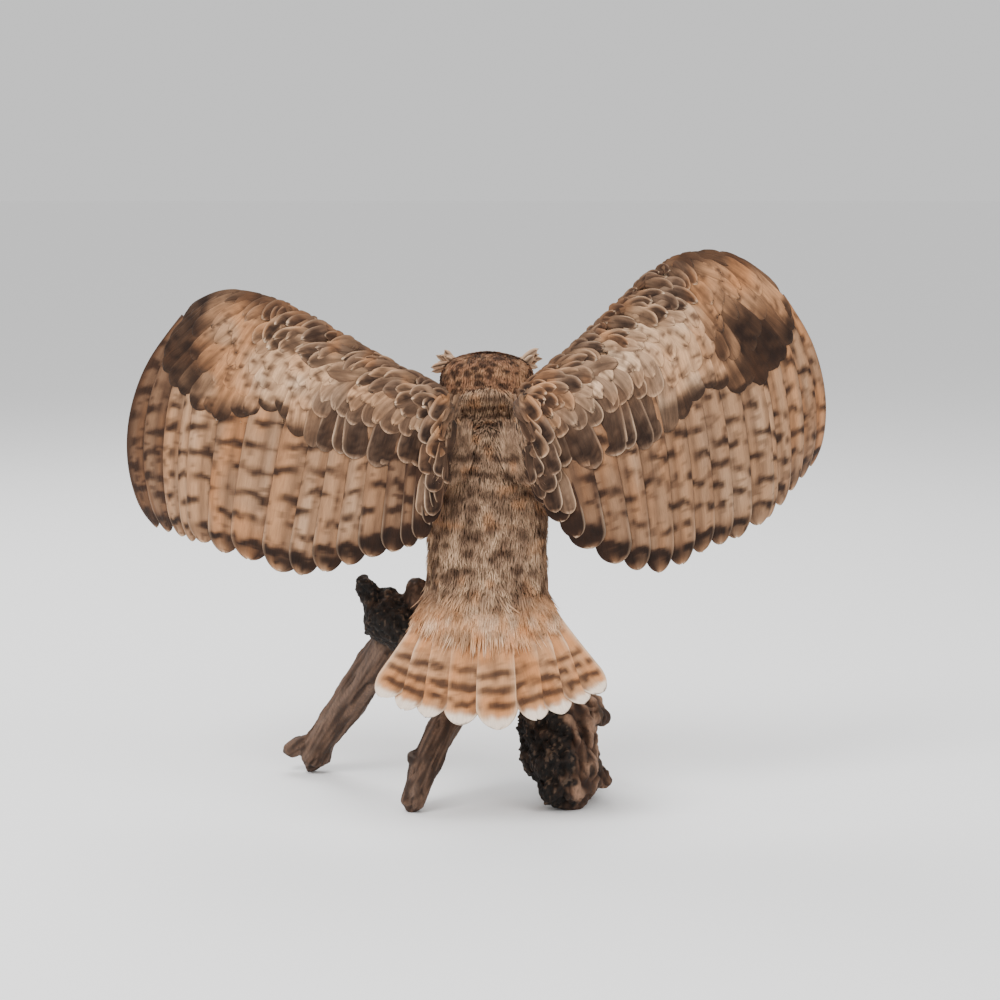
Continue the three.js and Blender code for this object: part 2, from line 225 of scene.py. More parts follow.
class Spline:
    """A smooth curve through points, with even steps of t from point to point."""

    def __init__(self, points: tuple) -> None:
        """Works out the curve's pieces.

        Args:
            points: the places that it passes, in order.
        """
        p = np.array(points, float)
        q = np.vstack([2 * p[0] - p[1], p, 2 * p[-1] - p[-2]])
        gap = (np.sum(np.diff(q, axis=0) ** 2, axis=1) ** 0.25)[:, None]
        before, here, after = gap[:-2], gap[1:-1], gap[2:]
        x0, x1, x2, x3 = q[:-3], q[1:-2], q[2:-1], q[3:]
        out = ((x1 - x0) / before - (x2 - x0) / (before + here) + (x2 - x1) / here) * here
        into = ((x2 - x1) / here - (x3 - x1) / (here + after) + (x3 - x2) / after) * here
        self.parts = np.stack([x1, out, 3 * (x2 - x1) - 2 * out - into, 2 * (x1 - x2) + out + into])

    def __call__(self, t: Array) -> Array:
        """The places at t, from 0 at the start to 1 at the end."""
        count = self.parts.shape[1]
        x = np.clip(np.asarray(t, float), 0, 1) * count
        i = np.minimum(x.astype(int), count - 1)
        f = (x - i)[..., None]
        c0, c1, c2, c3 = self.parts[:, i]
        return c0 + f * (c1 + f * (c2 + f * c3))

    def along(self, t: Array) -> Array:
        """The curve's direction at t."""
        step = 0.01
        return unit(self(np.minimum(np.asarray(t) + step, 1)) - self(np.maximum(np.asarray(t) - step, 0)))


# ---------------------------------------------------------------- the wing's surface


@dataclass(frozen=True)
class WingShape:
    """A wing's curved surface: u runs out from the shoulder, s back from the leading edge to the tips."""

    side: Side
    edge: tuple
    tips: tuple
    bow: float
    bow_power: float
    camber: float = 30.0
    coverts: tuple = (0.62, 0.5, 0.47, 0.44, 0.46, 0.48, 0.2)
    fat: tuple = (14, 13, 12, 10, 9, 7, 3)
    under: tuple = (52, 30, 14, 10, 9, 7, 3)

    def point(self, u: Array, s: Array) -> Array:
        """Places on the middle surface.

        Args:
            u: shares of the way out.
            s: shares of the way back.

        Returns:
            Places in millimetres.
        """
        front = Spline(self.edge)(u)
        back = Spline(self.tips)(u)
        share = np.asarray(s, float)[..., None]
        swell = 2 * share * (1 - share)
        out = self.side.value * self.bow * np.clip(u, 0, 1) ** self.bow_power
        bulge = vec(out, np.full_like(out, self.camber), np.zeros_like(out))
        return front * (1 - share) + back * share + bulge * swell

    def slopes(self, u: Array, s: Array) -> tuple:
        """How a place moves with u and with s.

        Args:
            u: shares of the way out.
            s: shares of the way back.

        Returns:
            The two rates, in millimetres for a whole unit of u or s.
        """
        h = 0.01
        low, high = np.clip(u - h, 0, 1), np.clip(u + h, 0, 1)
        by_u = (self.point(high, s) - self.point(low, s)) / (high - low)[..., None]
        by_s = (self.point(u, s + h) - self.point(u, s - h)) / (2 * h)
        return by_u, by_s

    def normal(self, u: Array, s: Array) -> Array:
        """The direction out of the wing's upper side."""
        by_u, by_s = self.slopes(u, s)
        return unit(np.cross(by_u, by_s)) * self.side.value

    def thickness(self, u: Array, s: Array, upper: bool) -> Array:
        """How far the feathered arm stands over the middle surface.

        Args:
            u: shares of the way out.
            s: shares of the way back.
            upper: True for the upper side, False for the under side.

        Returns:
            Heights in millimetres.
        """
        q = np.clip(np.maximum(s, 0) / stations(self.coverts, u), 0, 1) ** (1 / 1.4)
        fullness = 1.9 * np.sqrt(q) * (1 - q) ** 0.9
        return 1.2 + stations(self.fat if upper else self.under, u) * fullness


WINGS = (
    WingShape(
        Side.LEFT,
        edge=((35, 30, 429), (58, 22, 454), (94, 26, 475), (145, 30, 506), (198, 22, 535),
              (267, 4, 554), (328, -22, 525)),
        tips=((49, 56, 346), (70, 60, 296), (122, 58, 276), (199, 40, 253), (257, 12, 265),
              (316, -22, 279), (374, -72, 290)),
        bow=84.0,
        bow_power=5.0,
    ),
    WingShape(
        Side.RIGHT,
        edge=((-29, 30, 429), (-51, 22, 461), (-86, 26, 492), (-139, 30, 545), (-178, 22, 581),
              (-241, 4, 595), (-323, -22, 542)),
        tips=((-48, 56, 352), (-95, 60, 297), (-138, 58, 268), (-184, 40, 257), (-238, 12, 275),
              (-306, -22, 307), (-366, -72, 367)),
        bow=42.0,
        bow_power=1.2,
    ),
)


# ---------------------------------------------------------------- materials


class Nodes:
    """A short way to write a material's node tree."""

    def __init__(self, name: str) -> None:
        """Starts a material with one surface shader.

        Args:
            name: the material's name.
        """
        self.material = bpy.data.materials.new(name)
        self.material.use_nodes = True
        self.tree = self.material.node_tree
        self.shader = self.tree.nodes["Principled BSDF"]

    def add(self, kind: str, inputs: dict | None = None, **settings: object) -> bpy.types.Node:
        """Adds a node.

        Args:
            kind: the node's type, without ShaderNode.
            inputs: values or sockets for its inputs, by name or number.
            settings: properties of the node itself.

        Returns:
            The new node.
        """
        node = self.tree.nodes.new("ShaderNode" + kind)
        for key, value in settings.items():
            setattr(node, key, value)
        for key, value in (inputs or {}).items():
            if isinstance(value, Socket):
                self.tree.links.new(value, node.inputs[key])
            else:
                node.inputs[key].default_value = value
        return node

    def math(self, operation: str, *values: object) -> Socket:
        """The result of a Math node on numbers or sockets."""
        return self.add("Math", dict(enumerate(values)), operation=operation).outputs[0]

    def range(self, value: Socket, low: float, high: float, to_low: float = 0.0,
              to_high: float = 1.0) -> Socket:
        """A value mapped from one range to another.

        Args:
            value: the socket to map.
            low, high: the range it comes from.
            to_low, to_high: the range it goes to.

        Returns:
            The mapped value.
        """
        ends = {"Value": value, "From Min": low, "From Max": high, "To Min": to_low, "To Max": to_high}
        return self.add("MapRange", ends).outputs[0]

    def mix(self, share: object, first: object, second: object, how: str = "MIX") -> Socket:
        """Two colours mixed.

        Args:
            share: how much of the second colour, a number or a socket.
            first, second: sockets or colours of four values.
            how: the way of mixing.

        Returns:
            The mixed colour.
        """
        node = self.add("Mix", {0: share, 6: first, 7: second}, data_type="RGBA", blend_type=how)
        return node.outputs[2]

    def noise(self, vector: Socket, scale: float, detail: float = 4.0,
              roughness: float = 0.55) -> Socket:
        """The level of a noise texture.

        Args:
            vector: where to read it.
            scale, detail, roughness: the texture's own settings.

        Returns:
            A level from 0 to 1.
        """
        texture = {"Vector": vector, "Scale": scale, "Detail": detail, "Roughness": roughness}
        return self.add("TexNoise", texture).outputs[0]

    def place(self, scale: tuple = (1, 1, 1), turn: float = 0.0, uv: str = "") -> Socket:
        """Coordinates of the object, or of a UV map, stretched and turned.

        Args:
            scale: the stretch along each axis.
            turn: the turn about z, in radians.
            uv: the UV map's name, or nothing for the object's own coordinates.

        Returns:
            The coordinates.
        """
        source = self.add("UVMap", uv_map=uv) if uv else self.add("TexCoord")
        out = source.outputs[0] if uv else source.outputs["Object"]
        return self.add("Mapping", {"Vector": out, "Scale": scale, "Rotation": (0, 0, turn)}).outputs[0]

    def set(self, name: str, value: object) -> None:
        """Gives the shader's input a value or a socket."""
        if isinstance(value, Socket):
            self.tree.links.new(value, self.shader.inputs[name])
        else:
            self.shader.inputs[name].default_value = value

    def tinted(self, light: Socket) -> None:
        """Colours the surface with its painted tint, made lighter or darker by a level."""
        tint = self.add("VertexColor", layer_name="tint").outputs[0]
        grey = self.add("CombineColor", {0: light, 1: light, 2: light}).outputs[0]
        self.set("Base Color", self.mix(1.0, tint, grey, "MULTIPLY"))

    def bump(self, height: Socket, strength: float, distance: float) -> None:
        """Raises the surface by a height.

        Args:
            height: the level to raise it by.
            strength: how much of it shows.
            distance: the height of a whole level, in metres.
        """
        node = self.add("Bump", {"Height": height, "Strength": strength, "Distance": distance})
        self.tree.links.new(node.outputs[0], self.shader.inputs["Normal"])


@dataclass(frozen=True)
class VaneFinish:
    """Feathers: the tint painted on each, with fine barbs that run out from the shaft."""

    name: str
    barb_turn: float = 0.75  # the barbs' slope against the shaft, in radians
    barbs: float = 4.5  # lines in ten millimetres
    contrast: float = 0.2
    relief: float = 0.5
    sheen: float = 0.03

    @classmethod
    def soft(cls, name: str, barbs: float = 24) -> "VaneFinish":
        """The finish of hair-like tufts, whose barbs run along them."""
        return cls(name, barb_turn=0.1, barbs=barbs, contrast=0.13)

    def make(self) -> bpy.types.Material:
        """Builds the material."""
        n = Nodes(self.name)
        fine = n.noise(n.place((self.barbs, 0.7, 1), self.barb_turn, "vane"), 1.0, 3.0, 0.6)
        broad = n.noise(n.place((2.2, 0.5, 1), self.barb_turn, "vane"), 1.0, 2.0)
        level = n.math("ADD", n.range(fine, 0.3, 0.7, -1, 1), n.range(broad, 0.3, 0.7, -0.7, 0.7))
        n.tinted(n.range(level, -1.7, 1.7, 1 - self.contrast * 1.5, 1 + self.contrast))
        n.set("Roughness", n.range(fine, 0.3, 0.7, 0.62, 0.86))
        n.set("Specular IOR Level", 0.15)
        n.set("Sheen Weight", self.sheen)
        n.set("Sheen Roughness", 0.5)
        n.bump(level, self.relief, 0.0004)
        return n.material


@dataclass(frozen=True)
class SkinFinish:
    """The down under the coat, in the coat's own markings."""

    name: str = "down"

    def make(self) -> bpy.types.Material:
        """Builds the material."""
        n = Nodes(self.name)
        fluff = n.noise(n.place((900, 900, 350)), 1.0, 4.0)
        n.tinted(n.range(fluff, 0.3, 0.7, 0.7, 1.1))
        n.set("Roughness", 0.9)
        n.set("Sheen Weight", 0.2)
        n.bump(fluff, 0.8, 0.001)
        return n.material


@dataclass(frozen=True)
class HornFinish:
    """Bill and claws: near-black horn, paler and worn where it is thick."""

    name: str
    dark: tuple = (28, 25, 24)
    pale: tuple = (74, 66, 60)

    def make(self) -> bpy.types.Material:
        """Builds the material."""
        n = Nodes(self.name)
        cloud = n.noise(n.place((90, 90, 60)), 1.0, 5.0)
        grain = n.noise(n.place((900, 900, 160)), 1.0, 4.0)
        worn = n.math("MULTIPLY", n.range(cloud, 0.42, 0.75), n.range(grain, 0.3, 0.8))
        n.set("Base Color", n.mix(worn, (*srgb(*self.dark), 1), (*srgb(*self.pale), 1)))
        n.set("Roughness", n.range(grain, 0.3, 0.8, 0.22, 0.45))
        n.set("Coat Weight", 0.25)
        n.set("Coat Roughness", 0.2)
        n.bump(grain, 0.25, 0.0004)
        return n.material


@dataclass(frozen=True)
class TintFinish:
    """A surface with its tint painted on, such as wood or a glass eye, and grain in relief."""

    name: str
    grain: tuple = (260, 260, 40)
    contrast: float = 0.3
    rough: tuple = (0.6, 0.95)
    relief: float = 0.8
    height: float = 0.0012
    coat: float = 0.0
    shine: float = 0.3

    def make(self) -> bpy.types.Material:
        """Builds the material."""
        n = Nodes(self.name)
        grain = n.noise(n.place(self.grain), 1.0, 6.0, 0.65)
        n.tinted(n.range(grain, 0.3, 0.7, 1 - self.contrast * 1.6, 1 + self.contrast))
        n.set("Roughness", n.range(grain, 0.3, 0.7, self.rough[0], self.rough[1]))
        n.set("Specular IOR Level", self.shine)
        n.set("Coat Weight", self.coat)
        n.set("Coat Roughness", 0.03)
        n.bump(grain, self.relief, self.height)
        return n.material


# ---------------------------------------------------------------- pieces


def finish_piece(piece: bpy.types.Object, nodes: list) -> bpy.types.Object:
    """Ties a finished piece to the frame and reports it.

    Args:
        piece: the object, in place.
        nodes: the CAD nodes that it replaces.

    Returns:
        The same object.
    """
    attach(piece, "root")
    if nodes:
        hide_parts(*nodes)
    LOG.info("%s: %d faces", piece.name, len(piece.data.polygons))
    return piece


def new_object(name: str, mesh: Mesh, material: bpy.types.Material) -> bpy.types.Object:
    """Puts a mesh in the scene with its material, shaded smooth.

    Args:
        name: the object's name.
        mesh: its mesh, in metres in the part's frame.
        material: what it is made of.

    Returns:
        The object.
    """
    mesh.materials.clear()
    mesh.materials.append(material)
    mesh.polygons.foreach_set("use_smooth", np.ones(len(mesh.polygons), bool))
    mesh.update()
    piece = bpy.data.objects.new(name, mesh)
    bpy.context.scene.collection.objects.link(piece)
    return piece


def paint(mesh: Mesh, tint: Array) -> None:
    """Stores a colour for each vertex.

    Args:
        mesh: the mesh to paint.
        tint: linear colours, three values for each vertex.
    """
    layer = mesh.color_attributes.new(name="tint", type="FLOAT_COLOR", domain="POINT")
    values = np.ones((len(mesh.vertices), 4), np.float32)
    values[:, :3] = np.clip(tint, 0, 1)
    layer.data.foreach_set("color", values.ravel())


def mesh_of(shape: BMesh, name: str) -> Mesh:
    """Turns a bmesh into a mesh and frees it.

    Args:
        shape: the finished bmesh.
        name: the mesh's name.

    Returns:
        The mesh.
    """
    mesh = bpy.data.meshes.new(name)
    shape.to_mesh(mesh)
    shape.free()
    return mesh


@contextmanager
def editing(mesh: Mesh) -> Iterator[BMesh]:
    """Opens a mesh for bmesh's operators, and writes it back afterwards.

    Args:
        mesh: the mesh, changed in place.

    Returns:
        The open bmesh, as a context.
    """
    shape = bmesh.new()
    shape.from_mesh(mesh)
    yield shape
    shape.to_mesh(mesh)
    shape.free()


def places(mesh: Mesh) -> Array:
    """A mesh's vertices, in millimetres in the bird's frame."""
    co = np.zeros(len(mesh.vertices) * 3)
    mesh.vertices.foreach_get("co", co)
    return co.reshape(-1, 3) / MM - SHIFT


def normals(mesh: Mesh) -> Array:
    """The direction out of a mesh at each of its vertices."""
    out = np.zeros(len(mesh.vertices) * 3)
    mesh.vertex_normals.foreach_get("vector", out)
    return out.reshape(-1, 3)


def tree_of(mesh: Mesh) -> BVHTree:
    """A mesh's faces in the bird's frame, for finding the nearest place."""
    return BVHTree.FromPolygons(places(mesh).tolist(), [list(face.vertices) for face in mesh.polygons])


def move(mesh: Mesh, where: Array) -> None:
    """Puts a mesh's vertices at places in the bird's frame, in millimetres."""
    mesh.vertices.foreach_set("co", ((where + SHIFT) * MM).ravel())
    mesh.update()


def remeshed(mesh: Mesh, voxel: float) -> Mesh:
    """One closed mesh round all the shells of a mesh.

    Args:
        mesh: closed shells that touch or overlap.
        voxel: the size of the new faces, in millimetres.

    Returns:
        The new mesh.
    """
    holder = bpy.data.objects.new("remesh", mesh)
    bpy.context.scene.collection.objects.link(holder)
    modifier = holder.modifiers.new("voxels", "REMESH")
    modifier.mode = "VOXEL"
    modifier.voxel_size = voxel * MM
    graph = bpy.context.evaluated_depsgraph_get()
    made = bpy.data.meshes.new_from_object(holder.evaluated_get(graph))
    bpy.data.objects.remove(holder)
    return made


def keep_largest(mesh: Mesh) -> None:
    """Drops every part of a mesh but the largest.

    Args:
        mesh: the mesh, changed in place.
    """
    ends = np.empty(len(mesh.edges) * 2, np.int32)
    mesh.edges.foreach_get("vertices", ends)
    first, second = ends[0::2], ends[1::2]
    label = np.arange(len(mesh.vertices))
    before = None
    while before is None or (label != before).any():
        before = label.copy()
        least = np.minimum(label[first], label[second])
        np.minimum.at(label, first, least)
        np.minimum.at(label, second, least)
        label = label[label]
    kept = np.bincount(label).argmax()
    LOG.info("kept %d of %d vertices", (label == kept).sum(), len(label))
    with editing(mesh) as shape:
        loose = [vertex for vertex, own in zip(shape.verts, label.tolist()) if own != kept]
        bmesh.ops.delete(shape, geom=loose, context="VERTS")


def relax(mesh: Mesh, times: int, chosen: Array | None = None) -> None:
    """Smooths a mesh.

    Args:
        mesh: the mesh to smooth.
        times: how often each vertex moves towards its neighbours.
        chosen: says which vertices move, or nothing for all.
    """
    with editing(mesh) as shape:
        moved = [v for v in shape.verts if chosen is None or chosen[v.index]]
        for _ in range(times):
            bmesh.ops.smooth_vert(shape, verts=moved, factor=0.5, use_axis_x=True, use_axis_y=True,
                                  use_axis_z=True)


def joined_nodes(names: list) -> Mesh:
    """Copies of CAD nodes as one mesh, with the doubles in each merged.

    Args:
        names: the nodes to copy.

    Returns:
        The mesh of them all.
    """
    whole = bmesh.new()
    for name in names:
        whole.from_mesh(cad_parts[name].data)
    bmesh.ops.remove_doubles(whole, verts=whole.verts, dist=1e-6)
    return mesh_of(whole, "nodes")


# ---------------------------------------------------------------- feathers


@dataclass(frozen=True)
class Form:
    """How one kind of feather is cut: its section across and its outline."""

    top: int = 3  # points across the upper side, edges included
    under: int = 0  # points across the under side, between the edges
    rows: int = 5
    crowd: float = 1.0  # how much the rows crowd towards the tip
    root: float = 0.4  # width at the root, as a share of the full width
    full: float = 0.4  # where it is widest, as a share of the length
    taper: float = 0.45  # where the tip starts to close
    sharp: float = 0.7  # 0.5 for a round tip, 1 for a pointed one
    ridge: float = 0.5  # height of the shaft's side over the edges, in millimetres
    belly: float = 0.2
    cup: float = 0.15  # how far the edges bend down, as a share of the half width
    ragged: float = 0.0  # how unevenly the barbs end, as a share of the length

    def steps(self) -> Array:
        """The rows' places along the feather, from 0 at the root to 1 at the tip."""
        return 1 - (1 - np.linspace(0, 1, self.rows)) ** self.crowd

    def outline(self, t: Array) -> Array:
        """The half width along the feather, as a share of the full half width."""
        widening = self.root + (1 - self.root) * smooth(0, self.full, t)
        closing = np.clip((t - self.taper) / (1 - self.taper), 0, 1)
        return widening * np.maximum(1 - closing**2, 0.012) ** self.sharp

    def section(self) -> tuple:
        """The points round the section: x from -1 to 1 across, and the height at each."""
        upper = np.sin(np.linspace(-1, 1, self.top) * math.pi / 2)
        lower = np.sin(np.linspace(1, -1, self.under + 2) * math.pi / 2)[1:-1]
        x = np.concatenate([upper, lower])
        lift = np.concatenate([self.ridge * (1 - upper**2), -self.belly * (1 - lower**2)])
        return x, lift


HAIR = Form(rows=6, root=0.6, full=0.3, taper=0.15, sharp=0.9, ridge=0.35, cup=0.1, ragged=0.04)


@dataclass
class Lie:
    """Where feathers lie: a path for each, from root to tip, and the way out at each step."""

    path: Array  # feathers, rows, 3
    out: Array  # the same, directions out of the coat
    half: Array  # half width of each feather, in millimetres

    def frames(self) -> tuple:
        """The directions along, across and out of each feather at each row."""
        along = unit(np.gradient(self.path, axis=1))
        across = unit(np.cross(along, self.out))
        return along, across, unit(np.cross(across, along))


@dataclass
class Coat:
    """A piece made of many feathers, joined in one mesh."""

    name: str
    finish: VaneFinish
    parts: list = field(default_factory=list)

    def add(self, form: Form, lie: Lie, colour: Callable, chart: Array, size: tuple = (PATCH, PATCH),
            tilt: float = 0.0, seed: int = 1) -> None:
        """Adds feathers of one kind.

        Args:
            form: how they are cut.
            lie: where they lie.
            colour: gives linear colours from the places, x across, t along and whether it is the under side.
            chart: each feather's place on the map for baking.
            size: the size of its patch there.
            tilt: how far the feather leans to one side, in millimetres at its edge.
            seed: picks the ragged tips.
        """
        x, lift = form.section()
        t = form.steps()
        along, across, out = lie.frames()
        count = len(lie.half)
        width = lie.half[:, None] * form.outline(t)
        thin = (0.35 + 0.65 * form.outline(t))[None, :, None]
        height = lift * thin - form.cup * width[..., None] * x**2 + tilt * x * thin
        uneven = np.random.default_rng(seed).uniform(-1, 1, (count, 1, len(x)))
        length = np.linalg.norm(np.diff(lie.path, axis=1), axis=2).sum(1)
        fray = form.ragged * each(length) * uneven * (t**3)[None, :, None]
        where = (
            lie.path[:, :, None]
            + across[:, :, None] * (width[..., None] * x)[..., None]
            + out[:, :, None] * height[..., None]
            + along[:, :, None] * fray[..., None]
        )
        ring_x = np.broadcast_to(x, where.shape[:3])
        ring_t = np.broadcast_to(t[None, :, None], where.shape[:3])
        below = np.broadcast_to(np.arange(len(x)) >= form.top, where.shape[:3])
        tint = colour(where, ring_x, ring_t, below)
        spread = vec(np.abs(width[..., None] * x) * 0.1, ring_t * each(length) * 0.1)
        spread[..., 0] += np.arange(count)[:, None, None] * 0.73 % 9
        self.parts.append((form, where, tint, spread, ring_x, ring_t, np.asarray(chart), size))

    def mesh(self) -> Mesh:
        """Joins the feathers in one mesh with its maps and tint."""
        points, corners, starts, tints, vane, bake = [], [], [], [], [], []
        base = 0
        loops = 0
        for form, where, tint, spread, ring_x, ring_t, chart, size in self.parts:
            count, rows, ring = where.shape[:3]
            index = np.arange(count * rows * ring).reshape(count, rows, ring) + base
            turned = np.roll(index, -1, axis=2)
            quads = vec(index[:, :-1], turned[:, :-1], turned[:, 1:], index[:, 1:])
            caps = np.concatenate([index[:, 0, ::-1], index[:, -1]])
            below = (np.arange(ring) >= form.top - 1) & (ring > 3)
            beneath = np.broadcast_to(below[None, None, :, None], quads.shape)
            owner = np.broadcast_to(np.arange(count)[:, None, None, None], quads.shape)
            cap_owner = np.repeat(np.tile(np.arange(count), 2), ring)
            flat = np.concatenate([quads.ravel(), caps.ravel()])
            beneath = np.concatenate([beneath.ravel(), np.zeros(caps.size, bool)])
            owner = np.concatenate([owner.ravel(), cap_owner])
            local = flat - base
            across = (ring_x.ravel()[local] + 1) / 4 + 0.5 * beneath
            if ring == 3:
                across = (ring_x.ravel()[local] + 1) / 2
            bake.append(chart[owner] + vec(across * size[0], ring_t.ravel()[local] * size[1]))
            vane.append(spread.reshape(-1, 2)[local])
            sizes = np.concatenate([np.full(quads.size // 4, 4), np.full(count * 2, ring)])
            starts.append(loops + np.concatenate([[0], np.cumsum(sizes)[:-1]]))
            corners.append(flat)
            points.append(where.reshape(-1, 3))
            tints.append(tint.reshape(-1, 3))
            base += count * rows * ring
            loops += len(flat)
        mesh = bpy.data.meshes.new(self.name)
        whole = np.concatenate(points)
        corner = np.concatenate(corners)
        start = np.concatenate(starts)
        mesh.vertices.add(len(whole))
        mesh.vertices.foreach_set("co", ((whole + SHIFT) * MM).ravel())
        mesh.loops.add(len(corner))
        mesh.loops.foreach_set("vertex_index", corner.astype(np.int32))
        mesh.polygons.add(len(start))
        mesh.polygons.foreach_set("loop_start", start.astype(np.int32))
        mesh.update(calc_edges=True)
        mesh.uv_layers.new(name="vane").data.foreach_set("uv", np.concatenate(vane).ravel().astype(np.float32))
        mesh.uv_layers.new(name="OFBake").data.foreach_set("uv", np.concatenate(bake).ravel().astype(np.float32))
        paint(mesh, np.concatenate(tints))
        return mesh

    def piece(self, slot: str, nodes: tuple = ()) -> bpy.types.Object:
        """Makes the object of the whole coat.

        Args:
            slot: the material slot that it stands for; not used.
            nodes: the CAD nodes that it replaces.

        Returns:
            The object.
        """
        made = new_object(self.name, self.mesh(), self.finish.make())
        return finish_piece(made, list(nodes))


# ---------------------------------------------------------------- markings


def ink(red: int, green: int, blue: int) -> Array:
    """A dataclass field that holds a colour."""
    return field(default_factory=lambda: srgb(red, green, blue))


@dataclass(frozen=True)
class Markings:
    """The colours and patterns of the coat, the same on skin and feathers."""

    tawny: Array = ink(164, 118, 87)
    tan: Array = ink(138, 104, 78)
    buff: Array = ink(192, 148, 110)
    cream: Array = ink(230, 198, 166)
    brown: Array = ink(56, 36, 25)
    umber: Array = ink(26, 15, 10)
    grey: Array = ink(122, 96, 77)
    orange: Array = ink(198, 128, 76)
    bars: tuple = ((437, 3.0, 0.75), (427, 2.2, 0.65), (418, 2.2, 0.7), (410, 1.8, 0.6), (401, 2.0, 0.35),
                   (391, 2.2, 0.4), (380, 4.6, 0.95), (360, 4.2, 0.9), (340, 3.6, 0.55))  # height, half width, depth
    disc_middle: tuple = (22, 446)  # of the left facial disc, across and up
    disc_radius: float = 31.0

    def head(self, p: Array) -> Array:
        """Crown and nape: tawny with loose rows of dark blotches."""
        ground = blend(self.tawny, self.buff, patchy(0.4, 0.8, p, 8, 3) * 0.6)
        away = cells(p + 7 * (noise(p, 6, 4)[..., None] - 0.5), (12.5, 12.5, 8.5), 5)
        spots = smooth(0.62, 0.3, away)
        fine = patchy(0.6, 0.75, p, (3, 4, 2.4), 6) * 0.4
        crown = blend(ground, self.brown, np.clip(spots + fine, 0, 1) * 0.8)
        return self.face(p, blend(crown, self.brown, smooth(424, 402, p[..., 2]) * 0.4))

    def face(self, p: Array, ground: Array) -> Array:
        """The facial discs, their dark rim, the pale brows and the white chin.

        Args:
            p: places on the head.
            ground: the colours there without the face.

        Returns:
            The colours with the face.
        """
        away = vec(np.abs(p[..., 0]), p[..., 2]) - self.disc_middle
        reach = np.hypot(away[..., 0], away[..., 1]) / self.disc_radius
        front = smooth(-84, -94, p[..., 1])
        rings = 0.5 + 0.5 * np.sin(reach * 22 + 5 * noise(p, 8, 12))
        disc = blend(srgb(206, 174, 140), srgb(134, 98, 72), rings * 0.5 + 0.4 * smooth(0.6, 1.0, reach))
        dark_ring = smooth(0.62, 0.45, reach) * smooth(-0.3, 0.5, away[..., 0] / self.disc_radius)
        disc = blend(disc, srgb(112, 82, 62), dark_ring * 0.7)
        brow = smooth(8, 2, np.abs(away[..., 1] - 14 - 0.5 * away[..., 0])) * smooth(20, 4, away[..., 0])
        disc = blend(disc, self.cream, brow * 0.9)
        middle = smooth(13, 5, np.abs(p[..., 0])) * smooth(470, 455, p[..., 2])
        disc = blend(disc, srgb(226, 212, 192), middle * 0.8)
        chin = smooth(424, 412, p[..., 2]) * smooth(34, 20, np.abs(p[..., 0]))
        disc = blend(disc, srgb(238, 230, 216), chin)
        rim = np.exp(-(((reach - 1.06) / 0.12) ** 2)) * smooth(405, 425, p[..., 2]) * smooth(466, 456, p[..., 2])
        inside = smooth(1.12, 1.0, reach)
        faced = blend(ground, disc, front * np.maximum(inside, chin * smooth(395, 405, p[..., 2])))
        return blend(faced, self.umber, rim * front * 0.9)

    def back(self, p: Array) -> Array:
        """Nape, back and rump: barred above, mottled and paler below."""
        low = smooth(345, 255, p[..., 2])
        ground = blend(srgb(158, 126, 100), srgb(206, 170, 136), patchy(0.3, 0.75, p, 11, 21) * (0.5 + 0.4 * low))
        ground = blend(ground, self.grey, patchy(0.5, 0.8, p, 15, 26) * 0.4) * (1 + 0.14 * low)[..., None]
        ground = blend(ground, self.orange, patchy(0.62, 0.8, p, (14, 14, 10), 22) * 0.35)
        loose = 0.35 + 0.65 * smooth(402, 384, p[..., 2])
        level = p[..., 2] + loose * (13 * (noise(p, (24, 24, 18), 23) - 0.5) + 9 * (noise(p, (8, 8, 6), 24) - 0.5))
        bars = np.zeros(level.shape)
        for height, half, depth in self.bars:
            bars = np.maximum(bars, smooth(half * 1.7, half * 0.3, np.abs(level - height)) * depth)
        bars = bars * patchy(0.15, 0.5, p, (13, 13, 9), 27)
        away = cells(p + 9 * (noise(p, 9, 29)[..., None] - 0.5), (19, 19, 15), 25)
        spots = smooth(0.56, 0.2, away) * smooth(352, 318, p[..., 2])
        fine = patchy(0.5, 0.8, p, (5, 5, 4), 28) * 0.3
        coat = blend(ground, self.brown, np.clip(bars + spots * 0.72 + fine, 0, 1) * 0.82)
        pale = blend(srgb(206, 154, 110), srgb(226, 188, 152), patchy(0.3, 0.7, p, (10, 10, 26), 86))
        pale = blend(pale, self.orange, patchy(0.5, 0.7, p, (14, 14, 30), 88) * 0.5)
        pale = blend(pale, self.brown, patchy(0.6, 0.74, p, (11, 11, 9), 87) * 0.3)
        edge = p[..., 2] + 24 * (noise(p, (14, 14, 10), 89) - 0.5) + 10 * (noise(p, (3, 3, 9), 80) - 0.5)
        return blend(coat, pale, smooth(236, 206, edge))

    def breast(self, p: Array) -> Array:
        """The underside: bold streaks on the breast, fine bars below, a white throat."""
        ground = blend(self.buff, self.cream, patchy(0.3, 0.8, p, 24, 31) * 0.8)
        ground = blend(ground, self.orange, patchy(0.55, 0.8, p, (16, 16, 22), 34) * 0.25)
        streak = patchy(0.54, 0.63, p, (4.6, 5.5, 20), 32) * smooth(285, 345, p[..., 2])
        sway = 5 * noise(p, (12, 12, 9), 33)
        bars = smooth(0.35, 0.9, np.sin((p[..., 2] + sway) * 2 * math.pi / 7)) * 0.6
        bars = bars * patchy(0.3, 0.55, p, 9, 35) * (1 - 0.6 * smooth(330, 385, p[..., 2]))
        throat = smooth(392, 402, p[..., 2]) * smooth(30, 16, np.abs(p[..., 0]))
        ground = blend(ground, self.brown, np.clip(streak + bars, 0, 1) * 0.85)
        return blend(ground, srgb(238, 228, 212), throat * 0.85)

    def trunk(self, p: Array) -> Array:
        """The whole trunk, from back to breast."""
        _, back, up = zip(*SPINE[::-1])
        middle = np.interp(p[..., 2], up, back)
        below = np.maximum(smooth(middle + 6, middle - 22, p[..., 1]), smooth(212, 200, p[..., 2]))
        return blend(self.back(p), self.breast(p), below)

